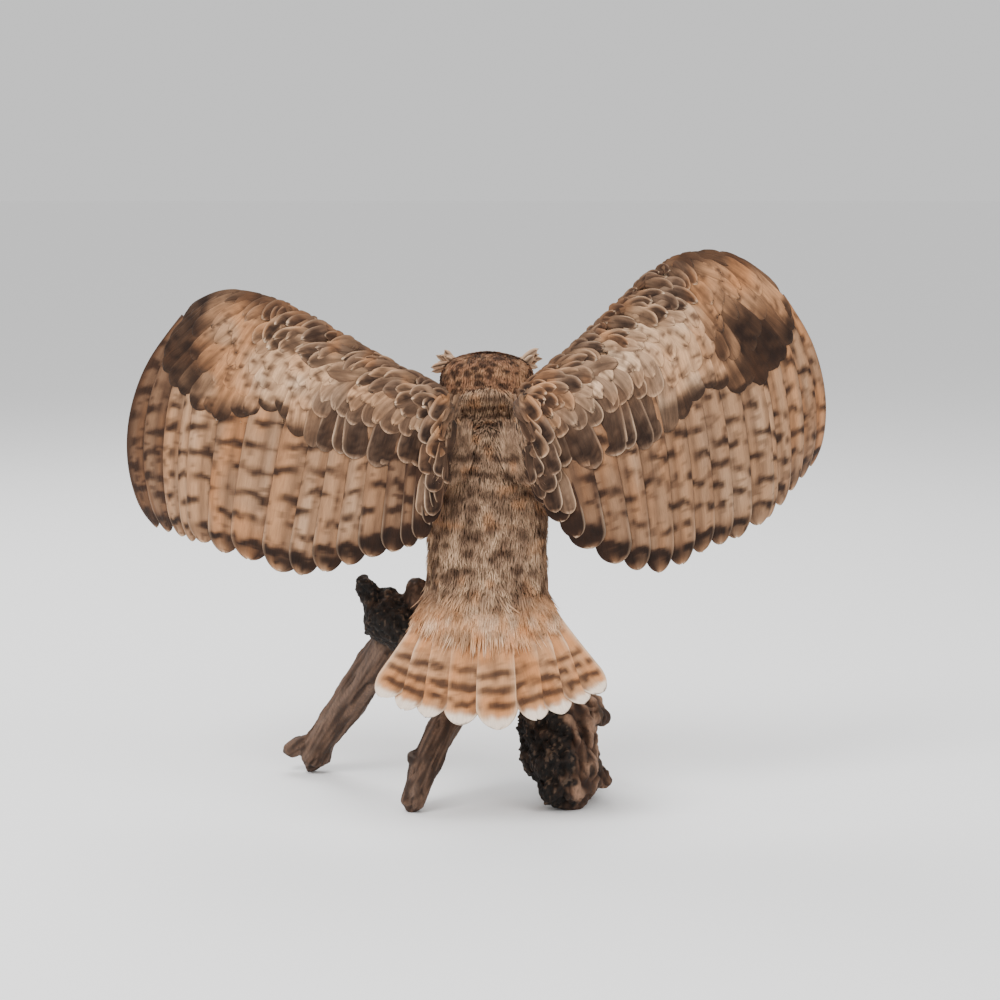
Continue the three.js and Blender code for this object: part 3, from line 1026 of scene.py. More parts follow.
    def leg(self, p: Array) -> Array:
        """Thighs, shanks and toes: pale buff with faint bars."""
        ground = blend(self.cream, self.buff, patchy(0.3, 0.8, p, 14, 41))
        bars = smooth(0.5, 0.95, np.sin((p[..., 2] + 5 * noise(p, 9, 42)) * 2 * math.pi / 8)) * 0.4
        return blend(ground, self.brown, bars * smooth(170, 215, p[..., 2]))

    def underwing(self, p: Array) -> Array:
        """The underwing's small feathers: pale buff with thin broken bars."""
        ground = blend(self.cream, self.buff, patchy(0.3, 0.7, p, 18, 51))
        sway = 6 * noise(p, (14, 14, 10), 52)
        bars = smooth(0.5, 0.95, np.sin((p[..., 2] + 0.3 * np.abs(p[..., 0]) + sway) * 2 * math.pi / 8.5))
        wing = blend(ground, self.brown, bars * 0.45 * patchy(0.3, 0.6, p, 10, 53))
        wing = blend(wing, self.breast(p), smooth(125, 85, np.abs(p[..., 0])) * 0.9)
        return blend(wing, self.back(p), smooth(8, 24, p[..., 1]) * smooth(105, 75, np.abs(p[..., 0])))

    def at(self, region: "Region", p: Array) -> Array:
        """The colours of a region.

        Args:
            region: the part of the bird.
            p: places there.

        Returns:
            Linear colours.
        """
        table = {
            Region.HEAD: self.head,
            Region.NECK: self.back,
            Region.TRUNK: self.trunk,
            Region.LEG: self.leg,
            Region.FOOT: self.leg,
            Region.WING: self.underwing,
        }
        return table[region](p)


MARKINGS = Markings()


# ---------------------------------------------------------------- skin and its coat


class Region(Enum):
    """A part of the body with a coat of its own."""

    HEAD = "head"
    NECK = "neck"
    TRUNK = "trunk"
    LEG = "thigh shank"
    FOOT = "foot"
    WING = "wing"

    @classmethod
    def of(cls, node: str) -> "Region":
        """The region that a CAD node belongs to."""
        return next(r for r in cls if any(node.startswith(word) for word in r.value.split()))


@dataclass(frozen=True)
class Wear:
    """How one region is covered."""

    depth: float  # how far the skin lies inside the coat's outer surface
    spacing: float
    length: float
    half: float
    rise: float  # how far the tips stand over the skin
    stray: float = 0.16  # how much the tufts turn from side to side, in radians


WEAR = {
    Region.HEAD: Wear(depth=3.2, spacing=1.75, length=8.5, half=0.95, rise=2.3),
    Region.NECK: Wear(depth=5.2, spacing=2.0, length=14, half=1.15, rise=3.8),
    Region.TRUNK: Wear(depth=5.6, spacing=2.05, length=17, half=1.25, rise=4.2, stray=0.2),
    Region.LEG: Wear(depth=3.5, spacing=2.1, length=12, half=1.1, rise=3.0, stray=0.25),
    Region.FOOT: Wear(depth=-0.6, spacing=1.7, length=6.5, half=0.8, rise=1.3, stray=0.3),
    Region.WING: Wear(depth=2.2, spacing=4.2, length=18, half=2.7, rise=2.0),
}


@dataclass
class Skin:
    """One skin round all the flesh, which the coat grows from."""

    first_voxel: float = 3.0
    voxel: float = 2.2
    lid_gap: float = 0.6
    temple: tuple = (38, -76, 467)  # where the head is filled out at its upper corners
    temple_fill: float = 5.0
    temple_reach: float = 17.0
    lid_thickness: float = 2.8
    lid_opening: tuple = (58.0, 43.0)  # half angles of the eye's opening, across and up

    def nodes(self) -> list:
        """The CAD nodes of flesh."""
        words = tuple(" ".join(r.value for r in Region).split())
        fans = ("secondaries", "primaries")
        return sorted(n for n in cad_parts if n.startswith(words) and not n.endswith(fans))

    def label(self, p: Array) -> list:
        """The CAD node nearest to each place.

        Args:
            p: places in the bird's frame.

        Returns:
            The nodes' names.
        """
        if not hasattr(self, "flesh"):
            corners, faces, self.owners = [], [], []
            for name in self.nodes():
                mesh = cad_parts[name].data
                base = len(corners)
                corners.extend(places(mesh).tolist())
                faces.extend([[base + v for v in face.vertices] for face in mesh.polygons])
                self.owners.extend([name] * len(mesh.polygons))
            self.flesh = BVHTree.FromPolygons(corners, faces)
        return [self.owners[self.flesh.find_nearest(q)[2]] for q in p.tolist()]

    def aperture(self, p: Array) -> Array:
        """How far places lie from the middles of the eyes, against the opening of the lids."""
        wide, high = np.sin(np.radians(self.lid_opening))
        across, up = np.abs(p[:, 0]) - EYE_CENTRE[0], p[:, 2] - EYE_CENTRE[2]
        return np.hypot(across / wide, up / np.where(up > 0, high, wide)) / (EYE_RADIUS + self.lid_gap)

    def lids(self, whole: BMesh) -> None:
        """Adds the eyelids as thick shells round the eyes.

        Args:
            whole: the mesh that they are added to.
        """
        wide, high = self.lid_opening
        for side in Side:
            centre = EYE_CENTRE * (side.value, 1, 1)
            shape = bmesh.new()
            bmesh.ops.create_uvsphere(shape, u_segments=40, v_segments=40, radius=EYE_RADIUS + self.lid_gap)
            bmesh.ops.rotate(shape, verts=shape.verts, matrix=Matrix.Rotation(math.pi / 2, 3, "X"))
            gone = []
            for vertex in shape.verts:
                x, y, z = vertex.co.normalized()
                angle = math.degrees(math.acos(max(-1.0, min(1.0, -y))))
                lean = math.atan2(z, x)
                limit = math.hypot(wide * math.cos(lean), (high if z > 0 else wide) * math.sin(lean))
                if angle < limit or angle > 100:
                    gone.append(vertex)
            bmesh.ops.delete(shape, geom=gone, context="VERTS")
            bmesh.ops.solidify(shape, geom=shape.faces[:], thickness=-self.lid_thickness)
            bmesh.ops.translate(shape, verts=shape.verts, vec=Vector(centre + SHIFT))
            bmesh.ops.scale(shape, verts=shape.verts, vec=(MM, MM, MM))
            held = mesh_of(shape, "lid")
            whole.from_mesh(held)
            bpy.data.meshes.remove(held)

    def build(self) -> Mesh:
        """Makes the skin's mesh.

        Returns:
            The mesh, in the part's frame.
        """
        mesh = remeshed(joined_nodes(self.nodes()), self.first_voxel)
        relax(mesh, 3)
        p = places(mesh)
        depth = np.array([WEAR[Region.of(name)].depth for name in self.label(p)])
        for side in Side:
            corner = np.linalg.norm(p - np.array(self.temple) * (side.value, 1, 1), axis=1)
            depth = depth - self.temple_fill * np.exp(-((corner / self.temple_reach) ** 2))
        move(mesh, p - normals(mesh) * depth[:, None])
        relax(mesh, 2)
        with editing(mesh) as whole:
            self.lids(whole)
        mesh = remeshed(mesh, self.voxel)
        keep_largest(mesh)
        relax(mesh, 2)
        p = places(mesh)
        body = (np.abs(p[:, 0]) < 75) & (p[:, 1] > -84) & (p[:, 2] > 215) & (p[:, 2] < 455)
        relax(mesh, 22, body)
        return mesh

    def dress(self) -> bpy.types.Object:
        """Makes the skin's object, painted as the coat over it is.

        Returns:
            The object.
        """
        mesh = self.build()
        mesh.name = "skin"
        self.places = places(mesh)
        self.normals = normals(mesh)
        self.regions = np.array([Region.of(name).name for name in self.label(self.places)])
        tint = np.zeros_like(self.places)
        for region in Region:
            here = self.regions == region.name
            tint[here] = MARKINGS.at(region, self.places[here])
        rim = smooth(1.4, 1.24, self.aperture(self.places)) * smooth(-90, -96, self.places[:, 1])
        tint = blend(tint, srgb(46, 36, 31), rim)
        paint(mesh, tint)
        shape = bmesh.new()
        shape.from_mesh(mesh)
        bmesh.ops.triangulate(shape, faces=shape.faces[:])
        self.faces = np.array([[v.index for v in face.verts] for face in shape.faces])
        shape.free()
        self.tree = BVHTree.FromPolygons(self.places.tolist(), self.faces.tolist())
        piece = new_object("skin", mesh, SkinFinish().make())
        return finish_piece(piece, self.nodes())

    def scatter(self, region: Region, spacing: Array, seed: int) -> tuple:
        """Picks places for tufts, none too close to another.

        Args:
            region: the region to cover.
            spacing: the least distance between tufts at each of the skin's vertices.
            seed: picks the places.

        Returns:
            The places, and the directions out of the skin there.
        """
        rng = np.random.default_rng(seed)
        inside = (self.regions[self.faces] == region.name).any(axis=1)
        faces = self.faces[inside]
        a, b, c = (self.places[faces[:, i]] for i in range(3))
        gap = spacing[faces].mean(axis=1)
        share = np.linalg.norm(np.cross(b - a, c - a), axis=1) / 2 / gap**2
        picked = rng.choice(len(faces), int(share.sum() * 3.2), p=share / share.sum())
        r1, r2 = np.sqrt(rng.random(len(picked))), rng.random(len(picked))
        weights = vec(1 - r1, r1 * (1 - r2), r1 * r2)
        corners = faces[picked]
        spots = np.einsum("ij,ijk->ik", weights, self.places[corners])
        out = unit(np.einsum("ij,ijk->ik", weights, self.normals[corners]))
        tree = KDTree(len(spots))
        for i, spot in enumerate(spots.tolist()):
            tree.insert(spot, i)
        tree.balance()
        free = np.ones(len(spots), bool)
        kept = []
        for i, (spot, reach) in enumerate(zip(spots.tolist(), (gap[picked] * 0.86).tolist())):
            if free[i]:
                kept.append(i)
                free[[j for _, j, _ in tree.find_range(spot, reach)]] = False
        return spots[kept], out[kept]

    def comb(self, spots: Array, out: Array, flow: Callable, length: Array, half: Array,
             rise: Array, rows: int, loose: Array) -> Lie:
        """Lays tufts along the skin.

        Args:
            spots, out: the roots, and the directions out of the skin there.
            flow: gives the lie of the coat at places with directions out.
            length, half, rise: of each tuft, in millimetres.
            rows: steps from root to tip.
            loose: says which tufts leave the skin and only follow the flow.

        Returns:
            Where the tufts lie.
        """
        step = (length / (rows - 1))[:, None]
        here, way = spots, out
        path, ways = [spots - out * 1.0], [out]
        for row in range(1, rows):
            ahead = square(flow(here, way), way)
            target = here + ahead * step
            found = [self.tree.find_nearest(q) for q in target.tolist()]
            near = np.array([f[0] for f in found])
            facing = np.array([f[1] for f in found])
            facing = np.where(np.sum(facing * way, -1, keepdims=True) < 0, way, facing)
            way = np.where(loose[:, None], way, unit(way * 0.5 + facing * 0.5))
            off = np.linalg.norm(near - target, axis=1) > 5
            here = np.where((off | loose)[:, None], target, near)
            share = row / (rows - 1)
            path.append(here + way * (rise * share**0.9)[:, None])
            ways.append(way)
        return Lie(np.stack(path, 1), np.stack(ways, 1), half)


def same_size(p: Array) -> Array:
    """Tufts of one size everywhere."""
    return np.ones(len(p))


def on_map(across: Array, up: Array) -> Array:
    """Places on the map for baking, a little inside its edges."""
    return vec(0.01 + across, 0.01 + 0.97 * np.clip(up, 0, 1))


@dataclass
class BodyCoat:
    """The tufts of head, neck, trunk and legs, and the small feathers under the wings."""

    skin: Skin
    bill: tuple = (0, -119, 443)
    tuft: Form = Form(rows=5, root=0.7, full=0.3, taper=0.25, sharp=0.8, ridge=0.2, cup=0.05, ragged=0.03)
    fine: Form = Form(rows=4, root=0.6, full=0.3, taper=0.2, sharp=0.9, ridge=0.25, cup=0.1)
    plume: Form = Form(rows=6, root=0.5, full=0.35, taper=0.35, sharp=0.6, ridge=0.4, cup=0.2)

    def head_flow(self, p: Array) -> Array:
        """Away from the bill over the crown, out from each eye on the face, and down the nape."""
        away = unit(p - np.array(self.bill))
        away[:, 2] -= 1.3 * smooth(-80, -38, p[:, 1])
        away[:, 1] += 0.5 * smooth(-60, -38, p[:, 1])
        eye = EYE_CENTRE * vec(np.sign(p[:, 0] + 1e-6), *np.ones((2, len(p))))
        from_eye = p - eye
        reach = np.linalg.norm(from_eye, axis=1)
        near = smooth(44, 32, reach) * smooth(-82, -94, p[:, 1])
        return unit(away) * (1 - near)[:, None] + unit(from_eye) * near[:, None]

    def trunk_flow(self, p: Array) -> Array:
        """Along the spine from neck to tail, and a little outwards on the flanks."""
        heights = [-z for _, _, z in SPINE]
        t = np.interp(-p[:, 2], heights, np.linspace(0, 1, len(heights)))
        along = Spline(SPINE).along(t)
        along[:, 0] += 0.004 * p[:, 0] * smooth(300, 220, p[:, 2])
        low = (smooth(262, 238, p[:, 2]) * smooth(-10, 15, p[:, 1]))[:, None]
        tail = vec(0.012 * p[:, 0], np.full(len(p), 0.66), np.full(len(p), -0.72))
        return along * (1 - low) + tail * low

    def leg_flow(self, p: Array) -> Array:
        """Down the leg."""
        return np.tile([0, -0.3, -0.95], (len(p), 1))

    def foot_flow(self, p: Array) -> Array:
        """Out from the top of each foot along its toes."""
        flow = np.zeros_like(p)
        for side in Side:
            low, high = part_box(f"foot_{side.word}")
            low, high = np.array(low) / MM - SHIFT, np.array(high) / MM - SHIFT
            top = np.array([(low[0] + high[0]) / 2, (low[1] + high[1]) / 2, high[2] + 8])
            here = np.sign(p[:, 0]) == side.value
            flow[here] = unit(p[here] - top) * (0.4, 1, 1)
        return flow

    def wing_flow(self, p: Array) -> Array:
        """Back across the wing and outwards."""
        flow = np.zeros_like(p)
        for wing in WINGS:
            here = np.sign(p[:, 0]) == wing.side.value
            if here.any():
                flow[here] = WingMap.of(wing).back(p[here], 0.35)
        return flow

    def cover(self, coat: Coat, region: Region, keep: Callable, form: Form, seed: int,
              scale: Callable = same_size, chart: Callable | None = None) -> None:
        """Covers a region, or the part of it that keep picks.

        Args:
            coat: the piece that the tufts go into.
            region: the region.
            keep: says which places belong to this piece.
            form: how the tufts are cut.
            seed: picks the places.
            scale: how large the tufts are at each place, against the region's own size.
            chart: gives the tufts' places on the map for baking.
        """
        wear = WEAR[region]
        flows = {
            Region.HEAD: self.head_flow,
            Region.NECK: self.trunk_flow,
            Region.TRUNK: self.trunk_flow,
            Region.LEG: self.leg_flow,
            Region.FOOT: self.foot_flow,
            Region.WING: self.wing_flow,
        }
        spacing = wear.spacing * scale(self.skin.places)
        spots, out = self.skin.scatter(region, spacing, seed)
        chosen = keep(spots)
        spots, out = spots[chosen], out[chosen]
        rng = np.random.default_rng(seed + 500)
        size = scale(spots) * rng.uniform(0.8, 1.2, len(spots))
        turn = rng.normal(0, wear.stray, len(spots))

        def flow(p: Array, way: Array) -> Array:
            """The region's flow, turned a little for each tuft."""
            ahead = square(flows[region](p), way)
            sideways = np.cross(way, ahead)
            return ahead * np.cos(turn)[:, None] + sideways * np.sin(turn)[:, None]

        loose = (spots[:, 2] < 246) & (spots[:, 1] > 0) & (out[:, 1] > 0.2) & (out[:, 2] > -0.3)
        loose &= region is Region.TRUNK
        size = size * np.where(loose, 1.75, 1.0)
        behind = smooth(0.55, 0.85, 0.66 * out[:, 1] - 0.72 * out[:, 2]) * smooth(238, 226, spots[:, 2])
        size = size * (1 - 0.6 * behind * (region is Region.TRUNK) * ~loose)
        lie = self.skin.comb(spots, out, flow, wear.length * size, wear.half * size**0.5,
                             wear.rise * rng.uniform(0.7, 1.15, len(spots)), form.rows, loose)
        shade = rng.normal(1, 0.03, len(spots))

        def colour(where: Array, x: Array, t: Array, below: Array) -> Array:
            """The markings, with painted shade darkening the root and the tip a little lighter."""
            tone = MARKINGS.at(region, where) * shade[:, None, None, None]
            # painted shade at the root of each tuft, where the tufts over it would shadow it; the tip a little lighter
            return tone * (0.9 + 0.1 * smooth(0.0, 0.45, t) + 0.04 * smooth(0.7, 1.0, t))[..., None]

        coat.add(form, lie, colour, (chart or self.wrap)(spots), seed=seed)

    def wrap(self, p: Array) -> Array:
        """Places on the map for baking, unrolled round the body's own axis."""
        turn = np.arctan2(p[:, 0], p[:, 1] + 20) / (2 * math.pi) + 0.5
        return on_map(0.97 * turn, (p[:, 2] - 140) / 360)

    def wrap_head(self, p: Array) -> Array:
        """The head unrolled round the line from bill to nape."""
        turn = np.arctan2(p[:, 0], p[:, 2] - 442) / (2 * math.pi) + 0.5
        return on_map(0.97 * turn, (p[:, 1] + 130) / 110)

    def wrap_leg(self, p: Array) -> Array:
        """Both legs unrolled side by side."""
        turn = np.arctan2(np.abs(p[:, 0]) - 37, p[:, 1] + 28) / (2 * math.pi) + 0.5
        left = np.where(p[:, 0] > 0, 0.0, 0.5)
        return on_map(left + 0.47 * turn, (p[:, 2] - 110) / 200)

    def wrap_wing(self, p: Array) -> Array:
        """The wing laid flat."""
        wing = WINGS[0] if p[0, 0] > 0 else WINGS[1]
        u, s = WingMap.of(wing).locate(p)
        return on_map(0.97 * u, s)

    def build(self) -> None:
        """Makes the coats of the body."""
        def everywhere(p: Array) -> Array:
            """Every place."""
            return np.ones(len(p), bool)

        def in_disc(p: Array) -> Array:
            """The places on the face."""
            return (p[:, 1] < -90) & (p[:, 2] > 400)

        def face_size(p: Array) -> Array:
            """The size of the head's tufts, which are smaller on the face."""
            return np.where(in_disc(p), 0.62, 1.0)

        def open_face(p: Array) -> Array:
            """The face's places clear of the eyes."""
            return in_disc(p) & (self.skin.aperture(p) > 1.16)

        def behind(p: Array) -> Array:
            """The trunk's places on the back."""
            return p[:, 1] > np.interp(p[:, 2], [190, 270, 325, 418], [74, 9, -14, -50]) - 12

        on_head = (face_size, self.wrap_head)
        on_leg = (same_size, self.wrap_leg)
        pieces = (
            ("head", "plumage", ((Region.HEAD, lambda p: ~in_disc(p), self.tuft, 101, *on_head),)),
            ("face", "plumage", ((Region.HEAD, open_face, self.fine, 102, *on_head),)),
            ("back", "plumage", ((Region.NECK, everywhere, self.tuft, 103),
                                 (Region.TRUNK, lambda p: behind(p) & (p[:, 2] > RUMP_TOP), self.tuft, 104))),
            ("rump", "plumage", ((Region.TRUNK, lambda p: behind(p) & (p[:, 2] <= RUMP_TOP), self.tuft, 104),)),
            ("breast", "plumage", ((Region.TRUNK, lambda p: ~behind(p), self.tuft, 104),)),
            ("leg", "leg_feather", ((Region.LEG, everywhere, self.tuft, 105, *on_leg),
                                    (Region.FOOT, everywhere, self.tuft, 106, *on_leg))),
        )
        for word, slot, covers in pieces:
            coat = Coat(f"{word}_feathers", VaneFinish.soft(f"{word} plumage", 26 if word == "face" else 24))
            for cover in covers:
                self.cover(coat, *cover)
            coat.piece(slot)
        for side in Side:
            under = Coat(f"underwing_feathers_{side.word}", VaneFinish(f"underwing plumage {side.word}"))
            self.cover(under, Region.WING, lambda p: np.sign(p[:, 0]) == side.value, self.plume, 107,
                       lambda p: 1 - 0.35 * smooth(135, 90, np.abs(p[:, 0])), self.wrap_wing)
            under.piece("covert")


# ---------------------------------------------------------------- wings


class WingMap:
    """Finds the place on a wing's surface nearest to a point."""

    made: dict = {}

    def __init__(self, wing: WingShape) -> None:
        """Samples the surface.

        Args:
            wing: the wing.
        """
        self.wing = wing
        u, s = np.meshgrid(np.linspace(0, 1, 81), np.linspace(0, 1, 41), indexing="ij")
        self.u, self.s = u.ravel(), s.ravel()
        self.tree = KDTree(len(self.u))
        for i, p in enumerate(wing.point(self.u, self.s).tolist()):
            self.tree.insert(p, i)
        self.tree.balance()

    @classmethod
    def of(cls, wing: WingShape) -> "WingMap":
        """The map of a wing, made once."""
        if wing.side not in cls.made:
            cls.made[wing.side] = cls(wing)
        return cls.made[wing.side]

    def locate(self, p: Array) -> tuple:
        """The shares out and back of the surface's nearest places."""
        index = np.array([self.tree.find(q)[1] for q in p.tolist()], int)
        return self.u[index], self.s[index]

    def back(self, p: Array, lean: float) -> Array:
        """The direction towards the tips at places near the wing.

        Args:
            p: the places.
            lean: how far it turns outwards, in radians.

        Returns:
            Directions.
        """
        u, s = self.locate(p)
        by_u, by_s = self.wing.slopes(u, s)
        return unit(by_s) * math.cos(lean) + unit(by_u) * math.sin(lean)


@dataclass(frozen=True)
class Row:
    """A row of coverts along the wing."""

    reach: float  # how near its tips come to the coverts' edge, from 0 at the leading edge to 1
    spacing: float
    length: float
    half: float
    inner: float = 0.07  # the least share of the way out
    greater: float = 0.0  # how much they look like the long dark ones of the lowest row


@dataclass
class WingCoat:
    """The long feathers and the rows of coverts of one wing."""

    wing: WingShape
    tips_at: tuple  # shares of the way out of the flight feathers' tips, from the body outwards
    edge: tuple  # the line that the greater coverts' tips follow, as shares out and back
    wrist: float = 0.70  # where the hand starts, as a share of the way out
    span: float = 420.0  # the wing's length and chord, as the hand's coverts fan over them
    chord: float = 270.0
    vane: Form = Form(top=11, under=5, rows=84, crowd=1.25, root=0.5, full=0.3, taper=0.86, sharp=0.5,
                      ridge=0.5, belly=0.2, cup=0.035, ragged=0.005)
    covert: Form = Form(top=11, under=1, rows=18, crowd=1.4, root=0.5, full=0.4, taper=0.58, sharp=0.56,
                        ridge=0.35, belly=0.2, cup=0.07, ragged=0.045)
    rounded: Form = Form(top=11, under=1, rows=18, crowd=1.5, root=0.5, full=0.4, taper=0.78, sharp=0.5,
                         ridge=0.35, belly=0.2, cup=0.07, ragged=0.006)
    under_covert: Form = Form(top=9, under=1, rows=12, crowd=1.4, root=0.5, full=0.4, taper=0.62, sharp=0.55,
                              ridge=0.25, belly=0.2, cup=0.03, ragged=0.03)
    rows: tuple = (
        Row(reach=1.0, spacing=16.5, length=78, half=14.0, inner=0.13, greater=1.0),
        Row(reach=0.77, spacing=18.0, length=60, half=13.5, inner=0.16, greater=0.75),
        Row(reach=0.59, spacing=17.0, length=52, half=12.0, inner=0.13, greater=0.45),
        Row(reach=0.45, spacing=15.0, length=46, half=10.5, inner=0.11),
        Row(reach=0.33, spacing=14.0, length=42, half=9.6, inner=0.1),
        Row(reach=0.22, spacing=13.0, length=38, half=8.8, inner=0.085),
        Row(reach=0.12, spacing=11.5, length=31, half=7.4, inner=0.075),
        Row(reach=0.04, spacing=9.5, length=23, half=5.8, inner=0.07),
    )
    under_rows: tuple = (
        Row(reach=0.97, spacing=15.0, length=58, half=11.0, greater=1.0),
        Row(reach=0.76, spacing=13.5, length=46, half=9.6, greater=0.75),
        Row(reach=0.58, spacing=12.0, length=38, half=8.6, greater=0.45),
    )
    tertials: tuple = (  # shares out and back, lengths and half widths
        (0.045, 0.96, 52, 9.5), (0.1, 0.93, 54, 10.5), (0.16, 0.84, 50, 10), (0.07, 0.8, 46, 9.5),
        (0.125, 0.68, 44, 10), (0.15, 0.5, 36, 11), (0.11, 0.35, 32, 10.5),
    )
    scapulars: tuple = (  # places across the mantle, heights of the tips, lengths and half widths
        (0.74, 356, 44, 9), (1.08, 348, 48, 10), (0.92, 364, 42, 10), (1.3, 366, 42, 10.5), (0.72, 376, 38, 9.5),
        (1.05, 384, 38, 11), (0.76, 398, 34, 10), (1.08, 403, 33, 11.5), (1.35, 398, 32, 11), (0.9, 418, 27, 9.5),
        (1.2, 421, 27, 10.5),
    )
    arm_lean: tuple = (7, 53)  # turn outwards at the coverts' edge, and how much more near the front, in degrees
    mantle_tufts: int = 1000
    mantle_side: float = 19.0  # where the mantle leaves the back, from the middle
    mantle_heights: tuple = (330, 440)
    alula: tuple = ((0.79, 0.035), (0.845, 0.045), (0.90, 0.05), (0.945, 0.035))

    def lean(self, u: Array, s: Array) -> Array:
        """How far coverts turn outwards from the straight way back, in radians."""
        ratio = s / stations(self.wing.coverts, u)
        least, more = self.arm_lean
        arm = np.radians(least + more * smooth(0.75, 0.2, ratio) * smooth(0.02, 0.22, u))
        hand = np.arctan2((u - self.wrist) * self.span, s * self.chord + 10)
        share = smooth(self.wrist - 0.04, self.wrist + 0.08, u)
        return arm * (1 - share) + hand * share

    def line(self, reach: float, spacing: float, rng: np.random.Generator) -> tuple:
        """Places the tips of a row of coverts.

        Args:
            reach: how near the coverts' edge they lie.
            spacing: the distance between them, in millimetres.
            rng: gives their unevenness.

        Returns:
            Their shares of the way out and back.
        """
        along = Spline([(*place, 0) for place in self.edge])(np.linspace(0, 1, 500))
        share = smooth(self.wrist - 0.08, self.wrist + 0.05, along[:, 0])
        start = along[:, 0] * (1 - share) + self.wrist * share
        u = start + (along[:, 0] - start) * reach
        s = np.maximum(along[:, 1], 0) * reach
        p = self.wing.point(u, s)
        length = np.concatenate([[0], np.cumsum(np.linalg.norm(np.diff(p, axis=0), axis=1))])
        count = max(int(length[-1] / spacing), 2)
        at = np.linspace(rng.uniform(0.01, 0.05), 0.995, count) * length[-1]
        at += rng.normal(0, spacing * 0.22, count)
        u = np.clip(np.interp(at, length, u), 0.003, 0.995)
        s = np.interp(at, length, s) + rng.normal(0, 0.02 if reach < 0.5 else 0.011, count)
        return u, np.maximum(s, 0.008)

    def trail(self, u: Array, s: Array, length: Array, half: Array, form: Form,
              lift: Array, upper: bool, lean: Callable) -> tuple:
        """Lays feathers back from their tips towards the leading edge.

        Args:
            u, s: where the tips lie.
            length, half: of each feather, in millimetres.
            form: how they are cut.
            lift: how far each lies over the feathered arm at each row.
            upper: whether they lie on the wing's upper side.
            lean: how far they turn outwards, from u and s.

        Returns:
            Where the feathers lie, and the shares out and back at each row.
        """
        t = form.steps()
        sign = 1 if upper else -1
        path, ways, outs, backs = [], [], [], []
        for row in range(form.rows - 1, -1, -1):
            by_u, by_s = self.wing.slopes(u, s)
            turn = lean(u, s)
            chord = np.linalg.norm(by_s, axis=1)
            s = np.maximum(s, 0.004 + 0.85 * half * np.abs(np.sin(turn)) / chord)
            out = self.wing.normal(u, s) * sign
            height = self.wing.thickness(u, s, upper) + lift[:, row] * (0.3 + 0.7 * smooth(0.0, 0.16, s))
            path.append(self.wing.point(u, s) + out * height[:, None])
            ways.append(out)
            outs.append(u)
            backs.append(s)
            if row:
                step = length * (t[row] - t[row - 1])
                s = s - step * np.cos(turn) / chord
                u = np.clip(u - step * np.sin(turn) / np.linalg.norm(by_u, axis=1), 0.001, 0.999)
        lie = Lie(np.stack(path[::-1], 1), np.stack(ways[::-1], 1), half)
        return lie, np.stack(outs[::-1], 1), np.stack(backs[::-1], 1)

    def flight(self) -> None:
        """Makes the secondaries and primaries."""
        m = MARKINGS
        word = self.wing.side.word
        left = self.wing.side is Side.LEFT
        u = np.array(self.tips_at)
        count = len(u)
        rng = np.random.default_rng(11 + self.wing.side.value)
        by_u, by_s = self.wing.slopes(u, np.full(count, 0.9))
        chord = stations(self.wing.coverts, u)
        length = np.linalg.norm(by_s, axis=1) * (1.0 - chord + 0.2)
        apart = np.diff(u, prepend=2 * u[0] - u[1], append=2 * u[-1] - u[-2])
        gap = np.maximum(apart[1:], apart[:-1]) * np.linalg.norm(by_u, axis=1)
        stack = np.linspace(0.5, -0.5, count) + rng.normal(0, 0.2, count)
        lift = np.repeat(stack[:, None], self.vane.rows, 1) - 0.6
        tip = 0.993 + rng.normal(0, 0.004, count)
        room = 4 + (1 - u) * np.linalg.norm(by_u, axis=1)
        half = np.minimum(np.clip(gap * 0.64, 9.5, 26), room)
        lie, _, _ = self.trail(u, tip, length, half, self.vane, lift, True, lambda a, b: a * 0.0)
        tone = rng.random(count)
        stops = [0.0, 0.15, 0.3, 0.5, 0.66, 0.76, 0.84, 0.9, 1.0]
        pale = np.interp(u, stops, [0.1, 0.15, 0.35, 0.6, 0.6, 0.5, 0.8, 0.4, 0.1] if left else
                         [0.1, 0.1, 0.25, 0.3, 0.35, 0.5, 0.6, 0.35, 0.2])
        warm = np.interp(u, stops, [0.1, 0.2, 0.3, 0.4, 0.8, 0.9, 0.0, 0.6, 0.8] if left else
                         [0.2, 0.4, 0.6, 0.5, 0.3, 0.0, 0.4, 0.7, 0.9])
        smudge = np.interp(u, stops, [0.9, 1.0, 1.0, 1.0, 0.8, 0.6, 0.2, 0.5, 0.7])
        spacing = rng.uniform(24, 29, count)

        def colour(where: Array, x: Array, t: Array, below: Array) -> Array:
            """Buff vanes with thin broken bars, a dark smudge before the tip, a pale edge and painted shadow on the
            covered side.
            """
            free = x * self.wing.side.value  # 1 at the edge towards the wing's tip, which lies on top
            back = (1 - t) * each(length)
            spot = vec(x * 1.6 + each(tone) * 90, back / 9, each(tone) * 31 + 0 * x)
            ground = blend(m.tan, m.buff, np.clip(each(pale) + 0.5 * (noise(spot * (0.8, 0.15, 1), 1, 67) - 0.5), 0, 1))
            streak = patchy(0.3, 0.75, spot * (1.2, 0.18, 1), 1, 61) * (0.35 + 0.65 * each(warm))
            ground = blend(ground, m.orange, streak * each(warm) * 0.75)
            light = patchy(0.45, 0.9, spot * (1, 0.15, 1), 1, 65) * each(pale)
            ground = blend(ground, m.cream, light * 0.45)
            sway = noise(spot * (1.1, 0.4, 1), 1, 62) * 11 + 4 * np.abs(x)
            sway = sway + 3 * (noise(spot * (5, 1.6, 1), 1, 60) - 0.5)
            turn = (back + sway) / each(spacing)
            order = np.round(turn)
            near = np.abs(turn - order) * each(spacing)
            middle = 0.2 + 0.55 * np.sin(order * 2.4 + each(tone) * 78)
            wide = smooth(1.15, 0.45, np.abs(free - middle))
            bar = smooth(7.2, 0.6, near) * wide * patchy(0.2, 0.5, spot * (1.4, 0.35, 1), 1, 63)
            bar = bar * smooth(6, 18, back)
            speck = patchy(0.68, 0.78, spot * (1.8, 1.6, 1), 1, 66) * 0.35
